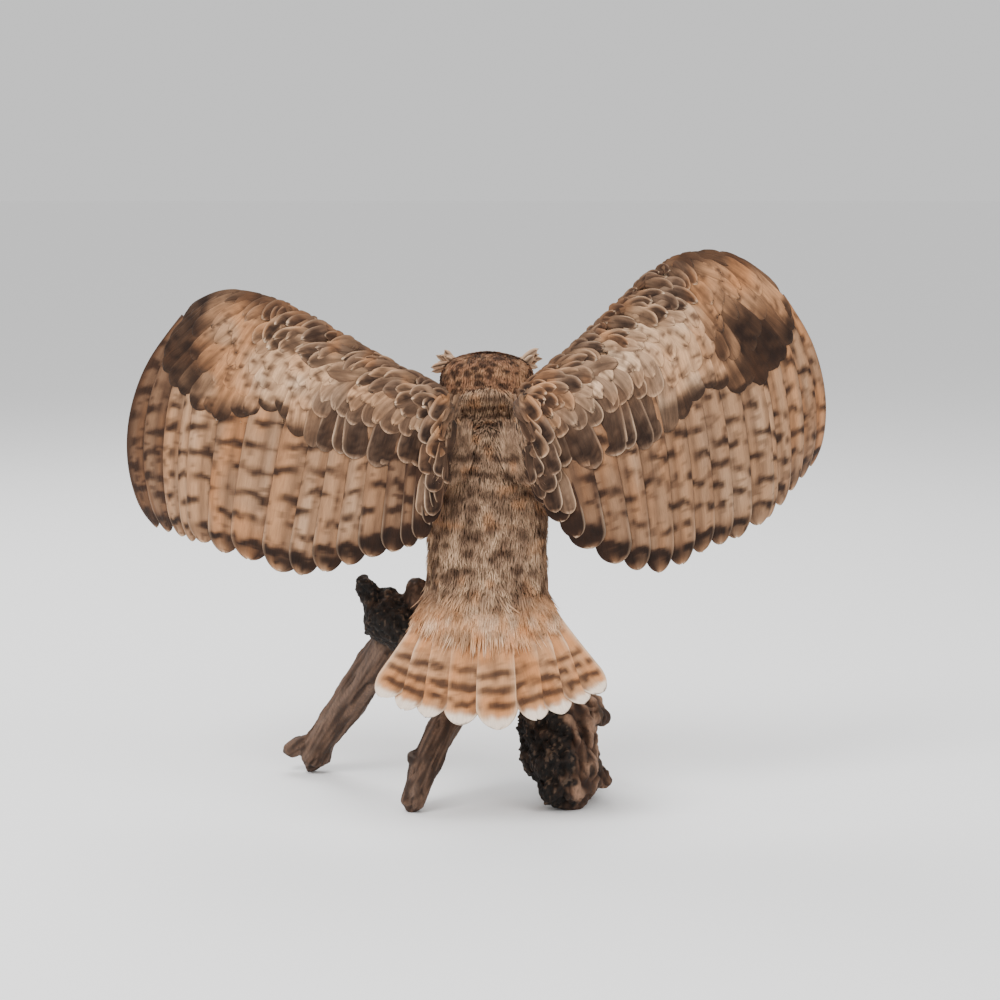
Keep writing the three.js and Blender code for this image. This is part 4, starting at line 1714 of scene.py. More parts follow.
            end = np.exp(-(((back - 13) / 10) ** 2)) * (0.55 + 0.45 * noise(spot, 1, 64)) * each(smudge)
            inner = smooth(0.42, 0.08, each(u))
            # the first term is painted shadow on the inner vane, under the neighbouring feather's edge; the rest are
            # the vanes' own darker edges and darker inner feathers
            shade = smooth(0.0, -0.65, free) * 0.4 + smooth(0.6, 0.95, free) * (0.22 + 0.35 * inner)
            shade = shade + inner * (0.32 + 0.5 * patchy(0.35, 0.65, spot * (1.1, 0.5, 1), 1, 68))
            if left:
                shade = shade + smooth(0.93, 0.99, each(u)) * smooth(0.0, 0.9, free) * 0.4
                shade = shade + smooth(0.88, 0.95, each(u)) * 0.42 + inner * 0.26
            dark = np.clip(bar * 0.85 + speck + end + shade, 0, 0.96)
            vane = blend(ground, blend(m.brown, m.umber, np.clip(end + 0.4 * bar, 0, 1)), dark)
            rim = np.maximum(smooth(0.86, 0.99, free) * 0.7, smooth(2.6, 0.3, back)) * smooth(75, 25, back)
            vane = blend(vane, m.cream, np.clip(rim * (0.45 + 0.4 * inner), 0, 1))
            vane = blend(vane, m.brown, smooth(0.07, 0.02, np.abs(x)) * smooth(4, 20, back) * 0.35)
            under = blend(m.buff, m.cream, 0.35 + 0.4 * noise(spot * (0.8, 0.2, 1), 1, 69))
            under = blend(under, m.brown, np.clip(bar * 0.75 + end * 0.5, 0, 1))
            return np.where(below[..., None], under, vane)

        slot = np.arange(count) / count
        chart = vec(0.005 + 0.99 * slot, np.full(count, 0.01))
        coat = Coat(f"flight_feathers_{word}", VaneFinish(f"flight vanes {word}", contrast=0.15))
        coat.add(self.vane, lie, colour, chart, (0.93 / count, 0.97), tilt=self.wing.side.value * 1.1)
        coat.piece("flight_feather", (f"wing_{word}_secondaries", f"wing_{word}_primaries"))

    def darkness(self, u: Array, s: Array, p: Array) -> Array:
        """How dark the coverts of the hand and of the edges are.

        Args:
            u, s: shares of the way out and back.
            p: the places in space.

        Returns:
            Shares from 0 to 1.
        """
        ratio = s / stations(self.wing.coverts, u)
        sway = (noise(p, 16, 77) - 0.5) * 0.3
        hand = smooth(0.62, 0.72, u)
        left = self.wing.side is Side.LEFT
        tips = smooth(0.75 if left else 0.82, 0.98, ratio + sway * 0.4) * smooth(0.38, 0.46, u)
        tips = tips * (0.55 + 0.4 * smooth(0.5, 0.64, u))
        front = smooth(0.1, 0.03, s) * smooth(0.66, 0.76, u)
        if left:
            patch = smooth(0.79, 0.9, u + sway * 0.25)
        else:
            patch = smooth(0.72, 0.81, u + sway * 0.25) * smooth(0.12, 0.27, s + sway * 0.2)
        return np.clip(np.maximum(tips * 0.95, np.maximum(front * 0.85, patch) * hand), 0, 1)

    def lay(self, coat: Coat, u: Array, s: Array, length: Array, half: Array,
            layer: float, upper: bool, seed: int, greater: float, turn: float = 0.0,
            over: Lie | None = None) -> None:
        """Adds coverts to a coat.

        Args:
            coat: the piece that they go into.
            u, s: where their tips lie.
            length, half: their lengths and half widths, in millimetres.
            layer: how far they lie over the feathered arm.
            upper: whether they lie on the wing's upper side.
            seed: picks their patterns.
            greater: how much they look like the long dark coverts of the lowest row.
            turn: how far they turn outwards besides their usual lean, in radians.
            over: where they lie, unless it is on the wing itself.
        """
        m = MARKINGS
        left = self.wing.side is Side.LEFT
        rng = np.random.default_rng(seed)
        count = len(u)
        limit = np.interp(u, [0, 0.2, 0.4, 0.55, 0.75], [0.68, 0.60, 0.46, 0.38, 0.38])
        scale = smooth(limit + 0.1, limit - 0.06, s / stations(self.wing.coverts, u)) * smooth(0.82, 0.72, u)
        inner = np.maximum(greater * smooth(0.60, 0.50, u), smooth(0.16, 0.1, u)) * (1 - scale)
        puff = (0.12 + 0.5 * np.maximum(scale, inner))[:, None]
        form = (self.rounded if greater > 0.5 else self.covert) if upper else self.under_covert
        t = form.steps()[None]
        lift = layer + (0.3 + puff) * t**1.5 + rng.uniform(-0.3, 0.5, count)[:, None] * puff
        lift = lift * smooth(-0.02, 0.07, u)[:, None]
        half = half * (0.75 + 0.25 * smooth(0.0, 0.12, u))
        sway = turn + rng.normal(0, 0.1, count) * (1 + 1.6 * scale)
        lie, path_u, path_s = self.trail(u, s, length, half, form, lift, upper,
                                         lambda a, b: self.lean(a, b) + sway)
        lie = over if over is not None else lie
        tone, light = rng.random(count), rng.random(count)

        def colour(where: Array, x: Array, t: Array, below: Array) -> Array:
            """Dark centres and pale rims, or pale with small spots, by place, with painted shadow on the covered side
            and painted shade at the root.
            """
            out, back = path_u[:, :, None], path_s[:, :, None]
            free = x * self.wing.side.value  # 1 at the edge towards the wing's tip, which lies on top
            hand = smooth(0.66, 0.76, out)
            formed = np.clip(each(scale) + each(inner), 0, 1)
            patches = patchy(0.35, 0.68, where, 26, 74)
            soft = blend(m.buff, m.orange, patches * (0.3 + (0.45 if left else 0.65) * hand))
            if not left:
                soft = blend(soft, m.orange, 0.45 * hand)
                soft = blend(soft, m.cream, 0.5 * smooth(0.2, 0.3, out) * smooth(0.62, 0.52, out))
            soft = blend(soft, m.cream, (0.2 + 0.5 * patchy(0.4, 0.7, where, 22, 73)) * (1 - 0.8 * hand))
            plain = blend(m.grey, m.buff, each(light) * (0.9 - 0.7 * each(inner)) + 0 * x)
            plain = blend(plain, m.orange, 0.5 * patchy(0.5, 0.72, where, 19, 69) * (1 - 0.6 * each(inner)))
            ground = blend(blend(soft, m.tan, 0.25 * hand), plain, formed * 0.9)
            dots = cells(where + 3 * (noise(where, 6, 72)[..., None] - 0.5), (11, 11, 9), 71)
            speckle = smooth(0.5, 0.16, dots) * (1 - formed) * 0.68
            own = vec(x * each(half) / 2.2 + each(tone) * 50, t * each(length) / 9, each(light) * 9 + 0 * x)
            hairs = noise(own, 1, 70)
            heart = smooth(1.15, 0.45, np.hypot(x, (t - 0.68) / 0.42) + 0.5 * (hairs - 0.5))
            near = smooth(0.35, 0.2, each(u))
            heart = heart * each(scale) * (0.55 + 0.45 * np.maximum(each(tone), near))
            oval = smooth(1.0, 0.8, np.abs(x)) * smooth(0.99, 0.92, t) * each(inner)
            root = smooth(0.16, 0.1, each(u))
            mottle = patchy(0.35, 0.6, where, (9, 9, 14), 76) * (1 - root) + smooth(0.4, 0.62, hairs) * root
            oval = oval * (0.86 + 0.14 * mottle) * (0.76 + 0.24 * smooth(0.35, 0.9, t))
            heart = np.maximum(heart, oval)
            cloud = patchy(0.3, 0.8, where, (10, 10, 7), 75)
            edges = self.darkness(out + 0 * x, back + 0 * x, where) * (0.85 + 0.15 * cloud)
            if upper and greater > 0.9:
                band = smooth(0.76, 0.95, t + 0.1 * (cloud - 0.5)) * smooth(0.4, 0.5, out)
                edges = np.maximum(edges, band * (0.55 + 0.35 * smooth(0.5, 0.62, out)))
            fleck = 0.8 + 0.2 * patchy(0.35, 0.62, where, (4.5, 4.5, 3), 68)
            mark = np.clip(np.maximum(np.maximum(speckle, heart * 0.95 * fleck), edges), 0, 0.98)
            vane = blend(ground, blend(m.brown, m.umber, np.maximum(edges, heart) * 0.75), mark)
            # painted shadow on the side that lies under the neighbouring covert
            vane = blend(vane, m.brown, smooth(-0.3, -0.9, free) * (0.2 + 0.35 * formed))
            vane = blend(vane, m.brown, smooth(0.1, 0.02, back) * 0.5 * each(scale) * upper)
            side = smooth(0.72, 0.95, free) * (0.35 + 0.65 * each(inner))
            side = side + smooth(0.5, 0.95, t) * smooth(0.7, 1, -free) * 0.3
            close = np.maximum(side, smooth(0.93 + 0.04 * each(inner), 1.0, t)) * smooth(0.35, 0.7, t)
            rim = close * np.clip(0.9 * each(scale) + 0.6 * each(inner) + 0.1 * edges, 0, 1)
            pale = np.clip(1.3 * np.maximum(each(tone), 0.7 * near) - 0.1, 0.1, 1)
            vane = blend(vane, m.cream, np.clip(rim * pale * (0.6 + 0.6 * hairs), 0, 1))
            vane = blend(vane, m.umber, smooth(0.07, 0.0, np.abs(x)) * 0.25)
            if not upper:
                line = (1 - t) * each(length) + 3 * noise(where, 6, 78)
                bars = smooth(0.3, 0.9, np.sin(line * 2 * math.pi / 9.5)) * patchy(0.3, 0.6, where, 9, 79)
                vane = blend(blend(m.buff, m.cream, 0.2 + 0.6 * each(light) + 0 * x), m.brown, bars * 0.5)
                vane = blend(vane, m.brown, np.clip(edges * 0.55 + smooth(0.85, 1, np.abs(x)) * 0.2, 0, 1))
            # painted shade at the root, where the row over it would shadow it
            return vane * (0.65 + 0.35 * smooth(0.1, 0.5, t))[..., None]

        chart = vec(0.005 + 0.95 * u, 0.01 + 0.95 * np.clip(s * 1.7, 0, 1))
        coat.add(form, lie, colour, chart, (0.012, 0.02), 0.7 * self.wing.side.value, seed=seed)

    def coverts(self, upper: bool) -> None:
        """Makes the rows of coverts of one side.

        Args:
            upper: the wing's upper side, or else its under side.
        """
        name = f"{'coverts' if upper else 'under_coverts'}_{self.wing.side.word}"
        coat = Coat(name, VaneFinish(name.replace("_", " "), contrast=0.24))
        for number, row in enumerate(self.rows if upper else self.under_rows):
            seed = 70 + number + (0 if upper else 40)
            rng = np.random.default_rng(seed)
            u, s = self.line(row.reach, row.spacing, rng)
            s = np.where((u < 0.52) & (number == 1), s * 0.86, s)
            chosen = (u > row.inner) & (upper | (u < 0.93))
            u, s = u[chosen], s[chosen]
            vary = 0.12 if number < 3 else 0.22
            length = row.length * rng.uniform(1 - vary, 1 + vary, len(u))
            half = row.half * rng.uniform(1 - vary, 1 + vary, len(u)) * (1 + 0.1 * smooth(0.45, 0.2, u))
            layer = 0.4 + 0.45 * min(number, 4) + 0.8 * (not upper)
            self.lay(coat, u, s, length, half, layer, upper, seed, row.greater)
        if upper:
            u, s, length, half = (np.array(values, float) for values in zip(*self.tertials))
            self.lay(coat, u, s, length, half, 2.0, True, 98, 0.7, -0.05)
            u, s = (np.array(values) for values in zip(*self.alula))
            self.lay(coat, u, s, np.full(4, 58.0), np.full(4, 7.5), 2.6, True, 99, 0.0)
            self.mantle(coat)
        coat.piece("covert")

    def root_lines(self) -> tuple:
        """The lines that the mantle joins.

        Returns:
            Heights, and the places at those heights down the back and down the wing's root.
        """
        tree = tree_of(joined_nodes(["trunk", "neck"]))
        z = np.linspace(*self.mantle_heights, 23)
        x = self.mantle_side * self.wing.side.value
        hits = [tree.ray_cast((x, 200, high), (0, -1, 0))[0] for high in z]
        inner = np.array([hit if hit is not None else (x, -20, 0) for hit in hits])
        s = np.linspace(1, 0, 60)
        u = np.full(60, 0.075)
        out = self.wing.normal(u, s) * (self.wing.thickness(u, s, True) + 2.4)[:, None]
        root = self.wing.point(u, s) + out
        outer = vec(*(np.interp(z, root[:, 2], root[:, axis]) for axis in range(3)))
        return z, inner, outer

    def mantle(self, coat: Coat) -> None:
        """Joins the back and the wing's root with soft plumage, and lays the scapulars over it.

        Args:
            coat: the piece that they go into.
        """
        levels, inner, outer = self.root_lines()

        def surface(across: Array, z: Array) -> Array:
            """Places from 0 on the back to 1 on the wing's root, at heights z."""
            bend = np.clip(across, 0, 1)
            bend = bend * bend * (3 - 2 * bend)
            x = np.interp(z, levels, inner[:, 0]) * (1 - across) + np.interp(z, levels, outer[:, 0]) * across
            y = np.interp(z, levels, inner[:, 1]) * (1 - bend) + np.interp(z, levels, outer[:, 1]) * bend
            y = y - 20 * smooth(390, 424, z) * smooth(0.0, 0.25, across) * smooth(1.1, 0.75, across)
            return vec(x, y, z)

        def hang(across: Array, z: Array, length: Array, drift: Array, form: Form,
                 lift: Array, half: Array) -> Lie:
            """Hangs feathers by their tips' places; drift is how far they run outwards."""
            t = form.steps()[None]
            at = across[:, None] + drift[:, None] * (t - 1)
            high = z[:, None] + length[:, None] * (1 - t)
            ahead = surface(at + 0.03, high) - surface(at - 0.03, high)
            down = surface(at, high - 1) - surface(at, high + 1)
            out = unit(np.cross(ahead, down))
            out = out * np.sign(out[..., 1:2])
            return Lie(surface(at, high) + out * lift[..., None], out, half)

        rng = np.random.default_rng(190 + self.wing.side.value)
        count = self.mantle_tufts
        across = rng.uniform(0.02, 1.1, count)
        z = 350 + 12 * np.abs(across - 0.6) + (44 + 20 * smooth(0.4, 1.0, across)) * rng.random(count)
        t = HAIR.steps()[None]
        lift = 0.4 + 2.8 * t + rng.uniform(-0.6, 0.8, count)[:, None]
        drift = rng.normal(0.06, 0.1, count) + 0.2 * smooth(0.1, 0.7, across)
        lie = hang(across, z, rng.uniform(16, 28, count), drift, HAIR, lift, rng.uniform(0.9, 1.5, count))

        def colour(where: Array, x: Array, t: Array, below: Array) -> Array:
            """Like the back, with painted shade at the root."""
            return MARKINGS.back(where) * (0.9 + 0.1 * smooth(0.0, 0.4, t))[..., None]

        chart = vec(0.01 + 0.09 * (across + 0.1), 0.98 - 0.3 * rng.random(count))
        coat.add(HAIR, lie, colour, chart, seed=191)
        across, z, length, half = (np.array(values, float) for values in zip(*self.scapulars))
        t = self.rounded.steps()[None]
        lift = 2.6 + 1.4 * t**1.5 + 0.03 * (z[:, None] - 350) * (1 - t) + rng.uniform(-0.2, 0.2, len(z))[:, None]
        drift = rng.normal(0.16, 0.06, len(z))
        over = hang(across, z, length, drift, self.rounded, lift, half)
        like = np.where(z > 380, 0.3, 0.6)
        self.lay(coat, 0.04 + 0.03 * across, like, length, half, 2.0, True, 97, 0.7, 0.0, over)

    def build(self) -> None:
        """Makes the wing's feathers."""
        self.flight()
        self.coverts(True)
        self.coverts(False)


# ---------------------------------------------------------------- tail and ear tufts


@dataclass
class Tail:
    """The fan of tail feathers and the soft coverts over and under its root."""

    up: tuple = (0, 0.76, 0.65)  # out of the tail's upper side
    middle: float = -0.095  # where the middle feather lies across
    bar_gap: float = 20.0
    soft_counts: tuple = (1300, 3900)  # coverts under and over the root
    tips_at: tuple = (-0.98, -0.83, -0.64, -0.434, -0.095, 0.227, 0.5, 0.70, 0.90)
    reach: tuple = (0.965, 0.98, 0.99, 0.985, 1.01, 0.99, 0.98, 0.98, 0.96)
    halves: tuple = (17, 17, 18, 20, 23.5, 21.5, 19.5, 18, 17.5)
    vane: Form = Form(top=11, under=5, rows=70, crowd=1.25, root=0.5, full=0.35, taper=0.81, sharp=0.5,
                      ridge=0.6, belly=0.3, cup=0.09, ragged=0.008)

    def point(self, a: Array, s: Array) -> Array:
        """Places on the tail's surface: a runs across from -1 to 1, s from the root to the tips."""
        spread = 46 + 79 * np.maximum(s, 0) ** 1.15
        root = vec(a * spread, np.full_like(a, 26.0), 240 - 8 * a * a)
        tip = vec(a * spread, 150 - 10 * a * a, 113 + 34 * a * a)
        share = np.asarray(s)[..., None]
        arch = (10 * (1 - np.minimum(a * a, 1)) * 4 * s * (1 - s))[..., None]
        return root * (1 - share) + tip * share + arch * np.array(self.up)

    def lie(self, a: Array, low: Array, high: Array, lift: Array, form: Form,
            half: Array, upper: bool = True) -> Lie:
        """Lays feathers straight down the tail.

        Args:
            a: where each lies across the tail.
            low, high: where each starts and ends, as shares of the tail's length.
            lift: how far over the surface each lies at each row.
            form: how they are cut.
            half: half their width.
            upper: whether they lie on the upper side.

        Returns:
            Where they lie.
        """
        sign = 1 if upper else -1
        t = form.steps()[None]
        s = low[:, None] + (high - low)[:, None] * t
        across = np.broadcast_to(a[:, None], s.shape)
        out = np.broadcast_to(unit(np.array(self.up)) * sign, (*s.shape, 3))
        return Lie(self.point(across, s) + out * lift[..., None], out.copy(), half)

    def vanes(self) -> None:
        """Makes the nine great tail feathers."""
        m = MARKINGS
        a = np.array(self.tips_at)
        count = len(a)
        rng = np.random.default_rng(5)
        lift = 4.0 * (1 - np.abs(a - self.middle))[:, None] * smooth(0.1, 0.8, self.vane.steps()) - 1.0
        low, high = np.full(count, 0.0), np.array(self.reach)
        lie = self.lie(a, low, high, lift, self.vane, np.array(self.halves))
        length = 190 * (high - low)
        tone = rng.random(count)

        def colour(where: Array, x: Array, t: Array, below: Array) -> Array:
            """Orange-buff with three or four broken dark bars, a broad white tip and painted shadow on the edge that
            lies under its neighbour.
            """
            back = (1 - t) * each(length)
            free = x * np.sign(each(a) - self.middle)  # 1 at the edge away from the middle feather
            spot = vec(x * 1.6 + each(tone) * 60, back / 9, each(tone) * 17 + 0 * x)
            ground = blend(m.orange, m.buff, 0.2 + 0.5 * patchy(0.3, 0.75, spot * (1, 0.3, 1), 1, 81))
            ground = blend(ground, m.cream, np.clip(smooth(80, 150, back) * 0.5 + smooth(0.65, 1, np.abs(x)) * 0.45,
                                                    0, 1))
            sway = (noise(spot * (1.4, 0.6, 1), 1, 82) - 0.5) * 9 - 3 * x * x
            turn = (back + sway - 24 - 6 * each(tone)) / self.bar_gap
            near = np.abs(turn - np.clip(np.round(turn), 0, 2)) * self.bar_gap
            bar = smooth(7.8, 1.2, near) * patchy(0.15, 0.5, spot * (1.3, 0.4, 1), 1, 83)
            bar = bar * smooth(92, 58, back) * smooth(1.0, 0.6, np.abs(x)) * (0.85 + 0.15 * each(tone))
            speck = patchy(0.6, 0.75, spot * (2.2, 1.8, 1), 1, 84) * 0.25
            # the last term is painted shadow on the edge that lies under the feather nearer the middle
            dark = np.clip(bar + speck * smooth(18, 30, back) + smooth(-0.1, -0.95, free) * 0.6, 0, 1) * 0.85
            vane = blend(ground, m.brown, dark)
            vane = blend(vane, m.cream, smooth(0.88, 0.98, np.abs(x)) * 0.55)
            white = smooth(20, 10, back + 5 * noise(spot * (2, 1, 1), 0.5, 85))
            vane = blend(vane, srgb(238, 218, 198), white)
            shaft = smooth(0.06, 0.02, np.abs(x)) * 0.2 * smooth(12, 26, back)
            vane = blend(vane, m.brown, shaft)
            return np.where(below[..., None], blend(vane, m.cream, np.full(x.shape, 0.4)), vane)

        chart = vec(0.005 + 0.99 * np.arange(count) / count, np.full(count, 0.01))
        coat = Coat("tail_feathers", VaneFinish("tail vanes", barbs=6, contrast=0.12))
        coat.add(self.vane, lie, colour, chart, (0.93 / count, 0.97))
        coat.piece("tail_feather", ("tail",))

    def coverts(self) -> None:
        """Makes the soft coverts over and under the tail's root."""
        m = MARKINGS
        coat = Coat("tail_coverts", VaneFinish.soft("tail plumage"))
        for upper in (True, False):
            rng = np.random.default_rng(90 + upper)
            count = self.soft_counts[upper]
            a = rng.uniform(-1.12, 1.12, count)
            high = (1 - rng.random(count) ** 0.62) * (0.6 - 0.12 * a * a)
            low = high - rng.uniform(32, 58, count) / 150
            t = HAIR.steps()[None]
            lift = 2.4 + 7 * np.maximum(0.5 - high, 0)[:, None] + 1.4 * t + rng.uniform(-0.5, 0.6, count)[:, None]
            lie = self.lie(a, low, high, lift, HAIR, rng.uniform(0.7, 1.3, count), upper)
            lie.path[..., 0] *= 1 + 0.26 * np.clip(1 - 2.4 * (low[:, None] + (high - low)[:, None] * t), 0, 1)
            lie.path[..., 0] += rng.normal(0, 3.0, count)[:, None] * t**2

            def colour(where: Array, x: Array, t: Array, below: Array) -> Array:
                """Like the rump, and pale with orange shades below it, with painted shade at the root."""
                # painted shade at the root of each tuft; the second factor makes the base of the tail paler, its own
                # colour
                shade = (0.92 + 0.08 * smooth(0.0, 0.4, t)) * (1 + 0.22 * smooth(236, 206, where[..., 2]))
                return m.back(where) * shade[..., None]

            chart = vec(0.02 + 0.2 * (a + 1.12) + 0.5 * upper, 0.05 + 0.9 * high)
            coat.add(HAIR, lie, colour, chart, seed=int(upper))
        coat.piece("tail_feather")

    def build(self) -> None:
        """Makes the tail."""
        self.vanes()
        self.coverts()


@dataclass
class HeadFeathers:
    """The ear tufts, the brows and the bristles round the bill."""

    skin: Skin
    root: tuple = (37, -88, 472)
    brow: tuple = ((9, -112, 455), (15, -114, 461), (25, -110, 466), (35, -100, 471))
    ear_count: int = 13
    brow_count: int = 110
    bristle_count: int = 330

    def ears(self) -> None:
        """Makes both ear tufts of narrow, ruffled feathers."""
        m = MARKINGS
        form = Form(top=5, under=1, rows=12, root=0.5, full=0.4, taper=0.6, sharp=0.55, ridge=0.4, cup=0.2,
                    ragged=0.06)
        coat = Coat("ear_tufts", VaneFinish("ear plumage", barbs=11))
        rng = np.random.default_rng(8)
        for side in Side:
            count = self.ear_count
            t = form.steps()[None, :, None]
            rise = np.radians(np.linspace(-16, 52, count) + rng.normal(0, 6, count))
            ahead = vec(np.cos(rise), rng.normal(-0.05, 0.2, count), np.sin(rise))
            start = np.array(self.root) + rng.normal(0, (3.0, 3.0, 1.8), (count, 3)) - ahead * 5
            length = np.where(np.arange(count) % 2, rng.uniform(19, 26, count), rng.uniform(12, 18, count))
            length = each(length)
            bend = np.array([0.35, 0.1, -0.3]) * t**2 * length * rng.uniform(0, 0.6, (count, 1, 1))
            path = (start[:, None] + ahead[:, None] * length * t + bend) * (side.value, 1, 1)
            out = np.broadcast_to(unit(np.array([0.15 * side.value, 0.95, 0.25])), path.shape)
            tone = rng.random(count)

            def colour(where: Array, x: Array, t: Array, below: Array) -> Array:
                """Dark down the middle with whitish edges."""
                dark = smooth(0.85, 0.35, np.abs(x)) * (0.5 + 0.5 * each(tone))
                edge = blend(m.cream, m.tawny, 0.5 * each(tone) + 0 * x)
                return blend(edge, m.umber, dark * 0.9)

            chart = vec(0.1 + 0.4 * (side.value > 0) + 0.03 * np.arange(count), np.full(count, 0.1))
            lie = Lie(path, out, rng.uniform(3.4, 4.6, count))
            coat.add(form, lie, colour, chart, (0.02, 0.2), seed=int(10 + side.value))
        coat.piece("plumage", ("ear_tuft_left", "ear_tuft_right"))

    def brows(self) -> None:
        """Makes the pale, ruffled brows from the bill up to the ear tufts."""
        form = Form(top=5, under=1, rows=8, root=0.6, full=0.4, taper=0.45, sharp=0.65, ridge=0.3, cup=0.15,
                    ragged=0.06)
        coat = Coat("brows", VaneFinish("brow plumage"))
        rng = np.random.default_rng(12)
        for side in Side:
            count = self.brow_count
            along = rng.random(count)
            line = Spline(self.brow)(along)
            line = (line + rng.normal(0, (1.0, 1.0, 1.6), (count, 3))) * (side.value, 1, 1)
            found = [self.skin.tree.find_nearest(q) for q in line.tolist()]
            spots, out = np.array([f[0] for f in found]), np.array([f[1] for f in found])
            turn = rng.normal(0, 0.3, count)

            def flow(p: Array, way: Array) -> Array:
                """Outwards and up, over the eye."""
                return vec(side.value * np.cos(turn), np.full(count, 0.25), 0.42 + np.sin(turn))

            lie = self.skin.comb(spots, out, flow, rng.uniform(9, 15, count), rng.uniform(1.1, 1.7, count),
                                 rng.uniform(2.6, 4.2, count), form.rows, np.zeros(count, bool))
            tone = rng.random(count)

            def colour(where: Array, x: Array, t: Array, below: Array) -> Array:
                """Whitish with brown shafts and tips."""
                tip = smooth(0.5, 0.95, t) * each(tone) + smooth(0.35, 0.0, np.abs(x)) * 0.4
                return blend(np.broadcast_to(srgb(226, 206, 176), where.shape), MARKINGS.brown, tip * 0.8)

            chart = vec(0.05 + 0.4 * along + 0.5 * (side.value > 0), 0.05 + 0.9 * rng.random(count))
            coat.add(form, lie, colour, chart, seed=int(30 + side.value))
        coat.piece("plumage")

    def bristles(self) -> None:
        """Makes the stiff pale bristles that hide the base of the bill."""
        form = Form(top=3, rows=6, root=1.0, taper=0.2, sharp=0.9, ridge=0.15, cup=0.1)
        coat = Coat("bristles", VaneFinish("bristles", barbs=14))
        rng = np.random.default_rng(9)
        for side in Side:
            count = self.bristle_count
            up = rng.random(count)
            root = vec(6.5 + 5 * rng.random(count), -105 - 4 * rng.random(count), 430 + 27 * up)
            ahead = vec(0.25 - 0.5 * up + rng.normal(0, 0.2, count), np.full(count, -0.7),
                        -0.75 + 0.5 * up + rng.normal(0, 0.2, count))
            length = rng.uniform(8, 17, count)[:, None, None]
            t = form.steps()[None, :, None]
            sag = np.array([0.3, 0.2, -0.9]) * 0.3
            path = (root[:, None] + (unit(ahead)[:, None] + sag * t) * length * t) * (side.value, 1, 1)
            out = unit(path - np.array([0, -100, 440]))
            tone = rng.random(count)

            def colour(where: Array, x: Array, t: Array, below: Array) -> Array:
                """Whitish at the root and dark at the tip."""
                tip = smooth(0.6, 0.95, t) * each(tone)
                return blend(np.broadcast_to(srgb(214, 200, 178), where.shape), srgb(50, 42, 38), tip)

            chart = vec(0.05 + 0.9 * rng.random(count), 0.05 + 0.9 * up)
            coat.add(form, Lie(path, out, np.full(count, 0.42)), colour, chart, seed=int(20 + side.value))
        coat.piece("plumage")

    def build(self) -> None:
        """Makes the tufts and bristles."""
        self.ears()
        self.brows()
        self.bristles()


# ---------------------------------------------------------------- eyes, bill and claws


@dataclass
class Eye:
    """A glass eye: black pupil, orange iris with fine spokes, and a dark rim."""

    side: Side
    pupil: float = 21.0  # half angles seen from the eye's centre, in degrees
    iris: float = 46.0
    outwards: float = 9.0

    def build(self) -> None:
        """Makes the eye."""
        shape = bmesh.new()
        bmesh.ops.create_uvsphere(shape, u_segments=96, v_segments=80, radius=EYE_RADIUS * MM)
        angle, turn = [], []
        for vertex in shape.verts:
            x, y, z = vertex.co.normalized()
            angle.append(math.degrees(math.acos(max(-1.0, min(1.0, z)))))
            turn.append(math.atan2(y, x))
        angle, turn = np.array(angle), np.array(turn)
        bulge = 1 + 0.05 * smooth(self.iris, self.pupil * 0.5, angle)
        for vertex, size in zip(shape.verts, bulge.tolist()):
            vertex.co *= size
        bmesh.ops.rotate(shape, verts=shape.verts, matrix=Matrix.Rotation(math.pi / 2, 3, "X"))
        lean = Matrix.Rotation(math.radians(self.outwards * self.side.value), 3, "Z")
        bmesh.ops.rotate(shape, verts=shape.verts, matrix=lean)
        centre = (EYE_CENTRE * (self.side.value, 1, 1) + SHIFT) * MM
        bmesh.ops.translate(shape, verts=shape.verts, vec=Vector(centre))
        mesh = mesh_of(shape, f"glass_eye_{self.side.word}")
        ring = vec(np.cos(turn) * 9, np.sin(turn) * 9, angle * 0.05)
        spokes = noise(ring, 1.0, 91) * 0.6 + noise(ring * 2.7, 1.0, 92) * 0.4
        share = smooth(self.pupil, self.iris, angle)
        tint = blend(srgb(244, 158, 40), srgb(206, 92, 18), share)
        tint = tint * (0.72 + 0.5 * spokes)[:, None]
        tint = blend(tint, srgb(8, 6, 6), smooth(self.pupil + 1.2, self.pupil - 0.6, angle))
        tint = blend(tint, srgb(14, 10, 9), smooth(self.iris - 3, self.iris + 1, angle))
        paint(mesh, tint)
        finish = TintFinish(f"glass eye {self.side.word}", contrast=0.05, rough=(0.2, 0.3), relief=0.05,
                            height=0.0001, coat=0.15, shine=0.05)
        piece = new_object(mesh.name, mesh, finish.make())
        finish_piece(piece, [f"eye_{self.side.word}"])


